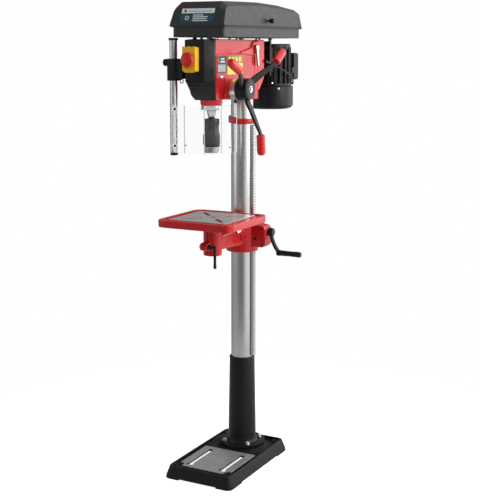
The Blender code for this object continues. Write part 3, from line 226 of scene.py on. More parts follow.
def bumps(made, layers):
    """Layers of surface relief, each resting on the one before."""
    nodes, links = made.node_tree.nodes, made.node_tree.links
    normal = None
    for scale, detail, strength, height, *stretch in layers:
        bump = nodes.new("ShaderNodeBump")
        bump.inputs["Strength"].default_value = strength
        bump.inputs["Distance"].default_value = height
        links.new(noise(made, scale, detail, *stretch), bump.inputs["Height"])
        if normal:
            links.new(normal, bump.inputs["Normal"])
        normal = bump.outputs["Normal"]
    links.new(normal, nodes["Principled BSDF"].inputs["Normal"])


# Finishes: key, CAD material, name, colour, roughness, metallic, other sockets, then the tint
# (colour, scale), the wandering roughness (low, high, scale) and the bumps (scale, detail, strength,
# height), the finest last. A stretch of the texture may follow a scale or a height.
FINISHES = (
    ("red", "red_paint", "red_enamel", (0.58, 0.007, 0.01), 0.32, 0.0,
        {"Specular IOR Level": 0.35, "Coat Weight": 0.15, "Coat Roughness": 0.12}, ((0.5, 0.006, 0.007), 26),
        (0.26, 0.4, 60), ((95, 2.0, 0.25, 0.0009), (700, 2.0, 0.18, 0.0003))),
    ("smooth_red", "red_paint", "red_skirt_enamel", (0.6, 0.007, 0.01), 0.26, 0.0,
        {"Specular IOR Level": 0.35, "Coat Weight": 0.18, "Coat Roughness": 0.08}, ((0.53, 0.006, 0.008), 18),
        (0.22, 0.32, 70), ((620, 2.0, 0.14, 0.0003),)),
    ("grip", "red_plastic", "red_grip_plastic", (0.7, 0.008, 0.01), 0.24, 0.0,
        {"Coat Weight": 0.15, "Coat Roughness": 0.15}, ((0.62, 0.006, 0.008), 40), (0.2, 0.32, 120),
        ((1400, 1.0, 0.1, 0.0002),)),
    ("black", "black_paint", "black_enamel", (0.006, 0.006, 0.007), 0.38, 0.0,
        {"Specular IOR Level": 0.22, "Coat Weight": 0.04, "Coat Roughness": 0.25}, ((0.009, 0.009, 0.01), 30),
        (0.3, 0.46, 70), ((110, 2.0, 0.22, 0.0008), (900, 2.0, 0.22, 0.0003))),
    ("dark", "black_paint", "black_oxide", (0.01, 0.01, 0.011), 0.34, 0.3, {"Specular IOR Level": 0.4},
        ((0.018, 0.018, 0.019), 90), (0.26, 0.42, 200), ((1500, 2.0, 0.12, 0.0002),)),
    ("shell", "black_plastic", "cover_plastic", (0.034, 0.035, 0.037), 0.46, 0.0,
        {"Specular IOR Level": 0.35}, ((0.027, 0.028, 0.03), 22), (0.4, 0.52, 55),
        ((1900, 2.0, 0.3, 0.0002),)),
    ("plastic", "black_plastic", "black_plastic", (0.008, 0.008, 0.009), 0.42, 0.0,
        {"Specular IOR Level": 0.24}, ((0.014, 0.014, 0.015), 35), (0.36, 0.5, 90),
        ((2200, 2.0, 0.22, 0.0002),)),
    ("chuck", "black_plastic", "chuck_black", (0.036, 0.036, 0.038), 0.36, 0.55, {},
        ((0.052, 0.052, 0.055), 120), (0.28, 0.42, 260), ((1800, 2.0, 0.12, 0.0002),)),
    ("steel", "ground_steel", "ground_column_steel", (0.6, 0.6, 0.59), 0.27, 1.0, {},
        ((0.55, 0.55, 0.54), 9, (3, 3, 1)), (0.23, 0.28, 30, (2, 2, 14)),
        ((40, 2.0, 0.05, 0.00005, (1, 1, 40)),)),
    ("turned_steel", "ground_steel", "turned_steel", (0.56, 0.56, 0.55), 0.26, 1.0, {},
        ((0.48, 0.48, 0.47), 80), (0.2, 0.3, 60, (1, 1, 20)), ((60, 2.0, 0.05, 0.00006, (1, 1, 30)),)),
    ("chrome", "bright_steel", "plated_steel", (0.6, 0.6, 0.6), 0.16, 1.0, {}, ((0.52, 0.52, 0.53), 150),
        (0.1, 0.22, 300), ((900, 2.0, 0.05, 0.0002),)),
    ("face", "ground_steel", "machined_iron", (0.7, 0.7, 0.69), 0.36, 0.6, {},
        ((0.58, 0.58, 0.57), 16, (1, 4, 1)), (0.26, 0.44, 36, (1, 12, 1)),
        ((60, 3.0, 0.2, 0.0002, (1, 26, 1)),)),
    ("pad", "ground_steel", "ground_base_iron", (0.52, 0.52, 0.51), 0.42, 0.6, {},
        ((0.4, 0.4, 0.39), 22, (1, 3, 1)), (0.3, 0.46, 30, (12, 1, 1)),
        ((50, 3.0, 0.22, 0.0002, (24, 1, 1)),)),
    ("aluminium", "aluminium", "satin_aluminium", (0.74, 0.74, 0.75), 0.3, 1.0, {}, ((0.64, 0.64, 0.65), 60),
        (0.24, 0.38, 50, (8, 8, 1)), ((70, 2.0, 0.1, 0.0002, (20, 20, 1)),)),
    ("yellow", "yellow_plastic", "yellow_plastic", (0.97, 0.56, 0.008), 0.36, 0.0, {},
        ((0.93, 0.5, 0.006), 45), (0.3, 0.44, 90), ((1700, 2.0, 0.15, 0.0002),)),
    ("rubber", "rubber", "black_rubber", (0.016, 0.016, 0.017), 0.62, 0.0, {}, ((0.026, 0.026, 0.027), 150),
        (0.55, 0.75, 200), ((1600, 2.0, 0.3, 0.0003),)),
    ("clear", "clear_plastic", "clear_polycarbonate", (0.95, 0.96, 0.965), 0.04, 0.0,
        {"Transmission Weight": 1.0, "IOR": 1.09}, None, (0.015, 0.06, 18), ((35, 1.0, 0.04, 0.0004),)))
# The last film, light grey, is a painted highlight for the light the clear shield catches along its bends.
FILMS = (
    ("teal", (0.006, 0.085, 0.12)), ("white", (0.82, 0.84, 0.84)), ("ink", (0.012, 0.013, 0.015)),
    ("print_red", (0.55, 0.02, 0.03)), ("print_yellow", (0.85, 0.62, 0.05)),
    ("print_green", (0.16, 0.22, 0.02)), ("print_grey", (0.33, 0.34, 0.35)), ("fold", (0.7, 0.71, 0.72)))
M, SLOTS = {}, {key: slot for key, slot, *_ in FINISHES}


def finished(key, name, colour, roughness, metallic, sockets, tint, spots, layers):
    made = M[key] = material(name, colour, roughness, metallic, sockets)
    if tint:
        tinted(made, *tint)
    rough_spots(made, *spots)
    bumps(made, layers)


def build_materials():
    for key, _, *settings in FINISHES:
        finished(key, *settings)
    for key, colour in FILMS:
        finished(key, f"film_{key}", colour, 0.28, 0.0, {}, (tuple(0.88 * c for c in colour), 120),
            (0.22, 0.36, 150), ((600, 1.0, 0.04, 0.0002),))


# Outlines and solids.
def circle(radius, count=ROUND, centre=(0.0, 0.0)):
    angles = [tau * i / count for i in range(count)]
    return [(centre[0] + radius * cos(angle), centre[1] + radius * sin(angle)) for angle in angles]


def fillet(points, radius, steps=4, closed=True):
    """The outline with round corners, each no larger than its sides allow."""
    result, count = [], len(points)
    for i, point in enumerate(points):
        corner = Vector(point)
        if not closed and i in (0, count - 1):
            result.append(tuple(corner))
            continue
        before, after = Vector(points[i - 1]) - corner, Vector(points[(i + 1) % count]) - corner
        half = before.angle(after) / 2
        trim = min(radius / max(tan(half), 1e-4), 0.48 * before.length, 0.48 * after.length)
        start, end = corner + before.normalized() * trim, corner + after.normalized() * trim
        for k in range(steps + 1):
            t = k / steps
            result.append(tuple(start * (1 - t) ** 2 + corner * 2 * t * (1 - t) + end * t ** 2))
    return result


def rectangle(low, high, radius=0.0, steps=5):
    corners = [(low[0], low[1]), (high[0], low[1]), (high[0], high[1]), (low[0], high[1])]
    return fillet(corners, radius, steps) if radius else corners


def inset(outline, distance):
    """The outline moved inwards."""
    area = sum(a[0] * b[1] - b[0] * a[1] for a, b in zip(outline, outline[1:] + outline[:1]))
    result = []
    for i, point in enumerate(outline):
        corner = Vector(point)
        sides = (corner - Vector(outline[i - 1]), Vector(outline[(i + 1) % len(outline)]) - corner)
        normals = [Vector((-side.y, side.x)).normalized() for side in sides if side.length > 1e-7]
        middle = sum(normals, Vector((0, 0))).normalized()
        stretch = 1 / max(middle.dot(normals[0]), 0.6)
        result.append(tuple(corner + middle * (distance * stretch * (1 if area > 0 else -1))))
    return result


def axis_point(axis, u, v, w):
    return {"X": (w, u, v), "Y": (u, w, v), "Z": (u, v, w)}[axis]


def loft(rings, ends=True):
    """A skin over rings of as many points each, closed at both ends."""
    bm = bmesh.new()
    loops = [[bm.verts.new(point) for point in ring] for ring in rings]
    count = len(rings[0])
    for lower, upper in zip(loops, loops[1:]):
        for i in range(count):
            j = (i + 1) % count
            bm.faces.new((lower[i], lower[j], upper[j], upper[i]))
    if ends:
        bm.faces.new(loops[0])
        bm.faces.new(loops[-1])
    return bm


def prism(outline, low, high, axis="Z", edge=0.0, steps=3):
    """An outline drawn along an axis, with its two ends' edges rounded."""
    stations = [(low, 0.0), (high, 0.0)]
    if edge:
        arc = [pi / 2 * k / steps for k in range(steps + 1)]
        lower = [(edge * (1 - cos(t)), edge * (1 - sin(t))) for t in arc]
        stations = [(low + w, i) for w, i in lower] + [(high - w, i) for w, i in reversed(lower)]
    return loft([[axis_point(axis, u, v, w) for u, v in (inset(outline, i) if i > 1e-9 else outline)]
        for w, i in stations])


def block(low, high, radius=0.0, edge=0.0, axis="Z"):
    """A box from corner to corner, with edges along the axis rounded by radius."""
    order = {"X": (1, 2, 0), "Y": (0, 2, 1), "Z": (0, 1, 2)}[axis]
    u, v, w = order
    return prism(rectangle((low[u], low[v]), (high[u], high[v]), radius), low[w], high[w], axis, edge)


def turned(profile, count=ROUND, axis="Z", centre=(0.0, 0.0), ring=False, soft=0.0):
    """A solid of revolution from (radius, distance along the axis) points."""
    if soft:
        profile = fillet(profile, soft, 3, closed=ring)
    bm = bmesh.new()
    rows = []
    for radius, w in profile:
        if radius < 1e-6:
            rows.append([bm.verts.new(axis_point(axis, *centre, w))])
        else:
            rows.append([bm.verts.new(axis_point(axis, u, v, w)) for u, v in circle(radius, count, centre)])
    pairs = list(zip(rows, rows[1:])) + ([(rows[-1], rows[0])] if ring else [])
    for a, b in pairs:
        for i in range(count):
            j = (i + 1) % count
            corners = list(dict.fromkeys((a[i % len(a)], a[j % len(a)], b[j % len(b)], b[i % len(b)])))
            if len(corners) > 2:
                bm.faces.new(corners)
    return bm


def rod(radius, low, high, axis="Z", centre=(0.0, 0.0), count=SMALL, soft=0.0):
    return turned(((0, low), (radius, low), (radius, high), (0, high)), count, axis, centre, soft=soft)


def tube(outer, inner, low, high, axis="Z", centre=(0.0, 0.0), count=ROUND, soft=0.0):
    return turned(((outer, low), (outer, high), (inner, high), (inner, low)), count, axis, centre, True, soft)


def moved(bm, matrix):
    bmesh.ops.transform(bm, matrix=matrix, verts=bm.verts)
    return bm


def spun(bm, angle, axis, centre):
    """The solid turned by an angle about an axis through the centre."""
    turn = Matrix.Translation(centre) @ Matrix.Rotation(angle, 4, axis) @ Matrix.Translation(-Vector(centre))
    return moved(bm, turn)


def around(shape, angles, axis, centre):
    """Copies of a solid turned by several angles in degrees about an axis."""
    return [spun(shape(), radians(angle), axis, centre) for angle in angles]


def evenly(count, shift=0.0):
    return [360 * (i + shift) / count for i in range(count)]


def ribbed_ring(radius, level, count, depth=0.0, wide=0, axis="Z", centre=(0.0, 0.0)):
    """A ring in which the first few of every eight points are sunk."""
    ring = []
    for i in range(count):
        angle, reach = tau * i / count, radius - (depth if i % 8 < wide else 0.0)
        ring.append(axis_point(axis, centre[0] + reach * cos(angle), centre[1] + reach * sin(angle), level))
    return ring


def joined(*solids):
    """One mesh of several separate closed solids."""
    result = bmesh.new()
    for bm in solids:
        bmesh.ops.recalc_face_normals(bm, faces=bm.faces)
        mesh = bpy.data.meshes.new("part")
        bm.to_mesh(mesh)
        bm.free()
        result.from_mesh(mesh)
        bpy.data.meshes.remove(mesh)
    return result


def temporary(bm):
    bmesh.ops.recalc_face_normals(bm, faces=bm.faces)
    mesh = bpy.data.meshes.new("temporary")
    bm.to_mesh(mesh)
    bm.free()
    return linked("temporary", mesh)


def evaluated(obj):
    """The object's mesh with its modifiers applied."""
    bpy.context.view_layer.update()
    mesh = bpy.data.meshes.new_from_object(obj.evaluated_get(bpy.context.evaluated_depsgraph_get()))
    bm = bmesh.new()
    bm.from_mesh(mesh)
    bpy.data.meshes.remove(mesh)
    return bm


def carved(bm, adds=(), cuts=(), solver="MANIFOLD", voxel=0.0, rounds=5, keep=1.0):
    """The solid with others added and cut away. A voxel size melts it into a casting with soft edges."""
    objects = [temporary(bm)]
    body = objects[0]
    for operation, solids in (("UNION", adds), ("DIFFERENCE", cuts)):
        for solid in solids:
            objects.append(temporary(solid))
            modifier = body.modifiers.new("shape", "BOOLEAN")
            modifier.operation, modifier.solver, modifier.object = operation, solver, objects[-1]
    if voxel:
        modifier = body.modifiers.new("melt", "REMESH")
        modifier.mode, modifier.voxel_size = "VOXEL", voxel
        modifier = body.modifiers.new("smooth", "SMOOTH")
        modifier.factor, modifier.iterations = 0.5, rounds
        modifier = body.modifiers.new("thin", "DECIMATE")
        modifier.ratio = keep
    result = evaluated(body)
    for obj in objects:
        data = obj.data
        bpy.data.objects.remove(obj)
        bpy.data.meshes.remove(data)
    return result


def make(name, bm, finish, body="frame", stands_for=(), crease=38, weigh=False):
    """A finished piece of the named finish, riding on a body and standing for CAD nodes."""
    bmesh.ops.recalc_face_normals(bm, faces=bm.faces)
    bmesh.ops.translate(bm, verts=bm.verts, vec=PLACE)
    mesh = bpy.data.meshes.new(name)
    bm.to_mesh(mesh)
    bm.free()
    mesh.shade_smooth()
    mesh.set_sharp_from_angle(angle=radians(crease))
    obj = linked(name, mesh)
    mesh.materials.append(M[finish])
    if weigh:
        modifier = obj.modifiers.new("even_faces", "WEIGHTED_NORMAL")
        modifier.keep_sharp, modifier.weight = True, 80
    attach(obj, body)
    if stands_for:
        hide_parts(*([stands_for] if isinstance(stands_for, str) else stands_for))
    return obj


def keep_node(node, finish):
    """A CAD node whose shape is right gets a finish of its own."""
    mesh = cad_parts[node].data
    mesh.materials.clear()
    mesh.materials.append(M[finish])


def hex_screw(centre, seat, radius, height, axis="Z", way=1):
    """A hexagon head with a chamfer, a recess on top and a washer beneath."""
    end = seat + way * height
    head = turned(((0, seat + way * 0.0012), (radius, seat + way * 0.0012), (radius, end - way * 0.0012),
        (radius * 0.88, end), (radius * 0.45, end), (radius * 0.4, end - way * 0.0006),
        (0, end - way * 0.0006)), 6, axis, centre)
    washer = turned(((0, seat), (radius * 1.35, seat), (radius * 1.35, seat + way * 0.0013),
        (0, seat + way * 0.0013)), SMALL, axis, centre, soft=0.0003)
    return joined(head, washer)


def cap_screw(centre, seat, radius, height, axis="Z", way=1):
    """A socket head screw."""
    end = seat + way * height
    return turned(((0, seat), (radius, seat), (radius, end), (radius * 0.55, end),
        (radius * 0.5, end - way * height * 0.6), (0, end - way * height * 0.6)), SMALL, axis, centre,
        soft=0.0003)


# Stand.
def base_outline(shrink):
    return rectangle((-0.134 + shrink, -0.339 + shrink), (0.134 - shrink, 0.115 - shrink),
        0.026 - 0.4 * shrink, 8)


def base_ring(shrink, z):
    """The base's outline at a level, drawn in by shrink."""
    return [(x, y, z) for x, y in base_outline(shrink)]


def slot_outline(side):
    """A bolt slot in the base, wider at its front end."""
    x, half, wide = side * 0.065, 0.0085, 0.013
    return fillet([(x - half, -0.114), (x - half, -0.262), (x - wide, -0.266), (x - wide, -0.28),
        (x + wide, -0.28), (x + wide, -0.266), (x + half, -0.262), (x + half, -0.114)], 0.004, 4)


def build_stand():
    base = loft([base_ring(0.0006, 0), base_ring(0, 0.0012), base_ring(0.001, 0.01), base_ring(0.012, 0.0445),
        base_ring(0.013, 0.045)])
    adds = [block((-0.103, -0.3, 0.03), (0.103, -0.092, 0.0405), 0.005),
        rod(0.09, 0.02, BASE_TOP_Z - GAP, count=FINE)]
    cuts = [loft([base_ring(0.008, -0.01), base_ring(0.009, 0.01), base_ring(0.02, 0.026)])]
    recess = loft([base_ring(0.0205, z) for z in (0.035, 0.06)])
    for side in (-1, 1):
        for y in FLOOR_BOLTS_Y:
            adds.append(rod(0.0155, 0.02, 0.04, centre=(side * FLOOR_BOLTS_X, y)))
            cuts.append(rod(0.0062, -0.01, 0.06, centre=(side * FLOOR_BOLTS_X, y)))
        cuts.append(prism(slot_outline(side), -0.01, 0.06))
        cuts.append(block((side * 0.043 - 0.041, -0.29, -0.01), (side * 0.043 + 0.041, -0.1, 0.034)))
        cuts.append(block((side * 0.12 - 0.03, -0.25, -0.01), (side * 0.12 + 0.03, 0.03, 0.004)))
    for y in (-0.339, 0.115):
        cuts.append(block((-0.075, y - 0.02, -0.01), (0.075, y + 0.02, 0.004)))
    base = carved(carved(base, cuts=[recess]), adds, cuts, voxel=0.0016, rounds=3, keep=0.22)
    make("base_casting", base, "black", stands_for="base_plate", crease=60, weigh=True)
    pad = prism(rectangle((-0.1025, -0.2995), (0.1025, -0.0925), 0.005), 0.0398, PAD_TOP_Z, edge=0.0006)
    cuts = [prism(slot_outline(side), 0.03, 0.06) for side in (-1, 1)]
    cuts.append(rod(0.0905, 0.03, 0.06, count=FINE))
    cuts += [rod(0.0175, 0.03, 0.06, centre=(side * FLOOR_BOLTS_X, FLOOR_BOLTS_Y[1])) for side in (-1, 1)]
    pad = carved(pad, cuts=cuts)
    make("base_pad", pad, "pad", weigh=True)


def build_column():
    profile = ((0.083, BASE_TOP_Z), (0.083, FLANGE_TOP_Z), (0.064, FLANGE_TOP_Z), (0.062, 0.0572),
        (0.059, 0.0572), (0.0572, 0.0615), (0.053, 0.0665), (0.0512, 0.076), (0.046, 0.3775), (0.0445, 0.38),
        (COLUMN_BORE_R, 0.38), (COLUMN_BORE_R, BASE_TOP_Z))
    make("foot_sleeve", turned(profile, FINE, ring=True, soft=0.0015), "black", stands_for="column_foot",
        crease=50)
    for i in range(4):
        angle = radians(45 + 90 * i)
        centre = (0.067 * cos(angle), 0.067 * sin(angle))
        bolt = joined(hex_screw(centre, FLANGE_TOP_Z, 0.0074, 0.0078),
            rod(0.0039, 0.033, 0.0592, centre=centre))
        make(f"flange_bolt_{i + 1}", bolt, "chrome", stands_for=f"foot_bolt_{i + 1}")
    make("column", tube(COLUMN_R, 0.036, BASE_TOP_Z + GAP, 1.505, count=FINE, soft=0.0008), "steel",
        stands_for="column_tube")
    make("collar", tube(0.049, COLUMN_BORE_R, 1.234, 1.254, count=FINE, soft=0.0018), "smooth_red",
        stands_for="rack_collar")
    make("collar_screw", spun(cap_screw((0, 1.244), 0.0465, 0.0035, 0.0028, "X"), radians(-62), "Z",
        (0, 0, 0)), "dark")

    low, high, pitch_count = 0.385, 1.231, 90
    pitch = (high - low) / pitch_count
    outline = [(0.0405, low)]
    for i in range(pitch_count):
        for share, x in ((0.08, 0.0485), (0.32, 0.052), (0.58, 0.052), (0.82, 0.0485)):
            outline.append((x, low + pitch * (i + share)))
    outline += [(0.0485, high), (0.0405, high)]
    rack = [[(x, y, z) for x, z in outline] for y in (-0.009, 0.009)]
    make("rack_bar", loft(rack), "turned_steel", "rack", "column_rack", crease=20)


# Head.
def build_head():
    side = fillet([(-0.262, 1.327), (-0.06, 1.339), (0.03, 1.355), (0.065, 1.395), (0.065, 1.529),
        (-0.29, 1.529), (-0.29, 1.392)], 0.007)
    adds = [turned(((0, 1.322), (0.057, 1.322), (0.057, 1.525), (0, 1.525)), FINE, soft=0.002),
        turned(((0, 1.309), (0.0365, 1.309), (0.04, 1.35), (0, 1.35)), FINE, centre=SPINDLE, soft=0.0015)]
    panel = fillet([(-0.264, 1.345), (-0.035, 1.352), (-0.035, 1.48), (-0.288, 1.48), (-0.288, 1.4)], 0.014,
        6)
    boss = ((0, -0.063), (0.036, -0.063), (0.036, -0.045), (0.038, 0), (0.036, 0.052), (0.0325, 0.058),
        (0.0325, 0.064), (0, 0.064))
    cheek = fillet([(-0.15, 1.482), (-0.045, 1.5), (-0.028, 1.522), (0.004, 1.522), (0.008, 1.494),
        (-0.03, 1.475)], 0.006)
    adds += [prism(panel, -PANEL_X, PANEL_X, "X", 0.0012),
        turned(boss, ROUND, "X", FEED, soft=0.001), prism(cheek, 0.04, 0.0605, "X", 0.001)]
    for x, y in ((-0.04, -0.262), (0.04, -0.262), (-0.04, 0.045), (0.04, 0.045)):
        adds.append(rod(0.0065, 1.519, 1.5347, centre=(x, y)))
    for x in (-0.035, 0.035):
        adds.append(rod(0.0135, 0.05, 0.0685, "Y", (x, 1.5)))
    cuts = [rod(COLUMN_BORE_R, 1.29, 1.509, count=FINE), rod(0.0295, 1.28, 1.56, centre=SPINDLE, count=FINE),
        rod(0.016, -0.08, 0.08, "X", FEED), rod(0.0085, 1.49, 1.56, centre=IDLER),
        rod(0.0055, 0.045, 0.08, "X", LEVER), block((-0.004, 0.052, 1.3), (0.004, 0.09, 1.4))]
    cuts += [rod(0.0087, 0.044, 0.09, "Y", (x, 1.5)) for x in (-0.035, 0.035)]
    for side_x in (-1, 1):
        taper = [(side_x * x, z) for x, z in ((0.07, 1.4), (0.0555, 1.4), (0.0412, 1.3275), (0.0412, 1.3),
            (0.07, 1.3))]
        cuts.append(prism(taper, -0.3, -0.228, "Y"))
    head = carved(prism(side, -0.0545, 0.0545, "X", 0.002), adds, cuts, voxel=0.0015, rounds=4, keep=0.2)
    make("head_body", head, "red", stands_for="head_casting", crease=60, weigh=True)

    places = ((0.047, -0.278), (0.048, -0.178), (0.048, -0.128), (-0.047, -0.205), (-0.047, -0.1),
        (0.047, 0.02))
    screws = [hex_screw(place, 1.529, 0.0052, 0.0052) for place in places]
    make("top_screws", joined(*screws), "chrome")
    make("socket_screws", joined(*(spun(cap_screw((0, z), 0.0555, 0.0042, 0.003, "X"), radians(38), "Z",
        (0, 0, 0)) for z in (1.34, 1.356))), "dark")


def build_nose():
    low = [(-0.041, -0.2623), (-0.041, -0.2635), (-0.027, -0.27), (0.027, -0.27), (0.041, -0.2635),
        (0.041, -0.2623)]
    full = [(-0.0565, -0.2903), (-0.0565, -0.3), (-0.035, -0.333), (0.035, -0.333), (0.0565, -0.3),
        (0.0565, -0.2903)]

    def ring(z, sunk=0.0):
        t = min(max((z - NOSE_LOW_Z) / (NOSE_FOLD_Z - NOSE_LOW_Z), 0.0), 1.0)
        points = [tuple(Vector(a).lerp(Vector(b), t)) for a, b in zip(low, full)]
        rounded = fillet(points, 0.003, 3)
        return [(x, min(y, -0.2623 - 0.028 * t), z) for x, y in (inset(rounded, sunk) if sunk else rounded)]

    rings = [ring(NOSE_LOW_Z, 0.0016), ring(NOSE_LOW_Z + 0.0016), ring(1.3765)]
    for i in range(7):
        z = 1.378 + 0.0085 * i
        rings += [ring(z), ring(z + 0.0008, 0.0016), ring(z + 0.003, 0.0016), ring(z + 0.0038)]
    rings += [ring(NOSE_TOP_Z - 0.002), ring(NOSE_TOP_Z - 0.0006, 0.0006), ring(NOSE_TOP_Z, 0.002)]
    make("nose", loft(rings), "plastic", stands_for="nose_cover", crease=28)


def build_spring():
    cap = turned(((0.0085, -0.0635), (0.036, -0.0635), (0.036, -0.084), (0.032, -0.088), (0.0085, -0.088),
        (0.0085, -0.086), (0.033, -0.086), (0.033, -0.066), (0.0085, -0.066)), ROUND, "X", FEED, True, 0.001)
    notches = around(lambda: block((-0.092, FEED_Y - 0.0035, FEED_Z + 0.0335),
        (-0.074, FEED_Y + 0.0035, FEED_Z + 0.042)), evenly(4, 0.5), "X", (0, FEED_Y, FEED_Z))
    make("spring_housing", carved(cap, cuts=notches, solver="EXACT"), "black", stands_for="spring_cap")
    nut = turned(((0, -0.088), (0.0085, -0.088), (0.0085, -0.093), (0.007, -0.0942), (0, -0.0942)), 6, "X",
        FEED)
    make("spring_nut", nut, "chrome", "feed")
    keep_node("return_spring", "turned_steel")


def build_switch():
    x, z = SWITCH_X, SWITCH_Z
    box = prism(rectangle((x - 0.026, 1.423), (x + 0.026, 1.503), 0.006), -0.3535, -0.3333, "Y", 0.0015)
    box = carved(box, cuts=[rod(0.0125, -0.37, -0.343, "Y", (x, z))])
    teeth = [(x + side * u, v) for side in (-1, 1) for u, v in (((0.0245, 1.4265), (0.0245, 1.505),
        (0.015, 1.505), (0.015, 1.4985), (0.0055, 1.4985), (0.0055, 1.505))[::side])]
    flap = carved(prism(fillet(teeth, 0.002, 3), -0.3575, -0.3528, "Y", 0.0008),
        cuts=[rod(0.0125, -0.38, -0.33, "Y", (x, z))])
    lip = prism(rectangle((x - 0.018, 1.4205), (x + 0.018, 1.4285), 0.003), -0.3565, -0.35, "Y", 0.001)
    make("switch_case", box, "yellow", stands_for="switch_box", weigh=True)
    make("switch_flap", joined(flap, lip), "yellow", crease=30)
    button = turned(((0, -0.349), (0.0108, -0.349), (0.0108, -0.3622), (0.0205, -0.3626), (0.0225, -0.3665),
        (0.0212, -0.3725), (0.0135, -0.3768), (0, -0.378)), 64, "Y", (x, z), soft=0.0018)
    moved(button, Matrix.Translation((0, 0, z)) @ Matrix.Scale(1.12, 4, (0, 0, 1))
        @ Matrix.Translation((0, 0, -z)))
    tab = block((x - 0.006, -0.3725, z - 0.0275), (x + 0.006, -0.3655, z - 0.0205), 0.002, 0.0012, "Y")
    make("stop_mushroom", joined(button, tab), "grip", "stop_button", "stop_button")


def plate(name, outline, level, finish, body="frame", axis="X", thick=0.0004, shape=None):
    """A printed film of a flat outline; shape moves it to its place."""
    film = prism(outline, level, level + thick, axis)
    make(name, moved(film, shape) if shape else film, finish, body, crease=20)


def build_labels():
    side, raised = PANEL_X, PANEL_X + 0.0004
    plate("label_dark", rectangle((-0.284, 1.418), (-0.218, 1.474), 0.003), side, "ink")
    plate("label_dark_panel", rectangle((-0.279, 1.422), (-0.228, 1.446), 0.002), raised, "print_grey")
    for i, (low, high) in enumerate(((-0.262, -0.232), (-0.258, -0.236))):
        plate(f"label_bar_{i + 1}", rectangle((low, 1.453 + 0.009 * i), (high, 1.457 + 0.009 * i), 0.001),
            raised, "white")
    plate("label_spot", circle(0.0055, 24, (-0.274, 1.458)), raised, "print_red")
    plate("label_yellow", rectangle((-0.214, 1.412), (-0.105, 1.45), 0.003), side, "print_yellow")
    plate("label_green", rectangle((-0.21, 1.452), (-0.108, 1.474), 0.003), side, "print_green")
    for i in range(4):
        y = -0.205 + 0.024 * i
        plate(f"label_chart_{i + 1}", rectangle((y, 1.4555), (y + 0.014, 1.4705), 0.001), raised,
            "print_yellow")
    # A small white patch below the labels: a painted highlight where the glossy red casting catches the lamp.
    plate("label_small", rectangle((-0.262, 1.401), (-0.244, 1.4095), 0.001), side, "white")


def build_front_label():
    """The front label lies on the lid's sloping front."""
    foot, top = Vector((0, -0.3195, 1.5785)), Vector((0, -0.2985, 1.63))
    up = (top - foot).normalized()
    out = Vector((0, -up.z, up.y))
    place = Matrix.Translation(foot) @ Matrix(((1, 0, 0, 0), (0, up.y, out.y, 0), (0, up.z, out.z, 0),
        (0, 0, 0, 1)))

    def film(name, outline, level, finish):
        plate(name, outline, level, finish, "lid", "Z", 0.0003, place)

    film("front_label", rectangle((-0.064, 0.004), (0.06, 0.036), 0.002), 0.0001, "teal")
    film("front_band", rectangle((-0.064, 0.0365), (0.06, 0.0535), 0.002), 0.0001, "white")
    film("front_spot", circle(0.0075, 32, (-0.04, 0.02)), 0.0004, "white")
    film("front_spot_core", circle(0.005, 32, (-0.04, 0.02)), 0.0007, "print_red")
    for i, (start, end) in enumerate(((-0.018, 0.02), (-0.018, 0.038), (-0.018, 0.034), (-0.018, 0.04))):
        film(f"front_bar_{i + 1}", rectangle((start, 0.0285 - 0.0065 * i), (end, 0.0315 - 0.0065 * i),
            0.0008), 0.0004, "white")
    film("band_spot", circle(0.005, 32, (-0.05, 0.045)), 0.0004, "print_red")
    film("band_line", rectangle((-0.036, 0.0425), (0.05, 0.0448), 0.0006), 0.0004, "print_grey")


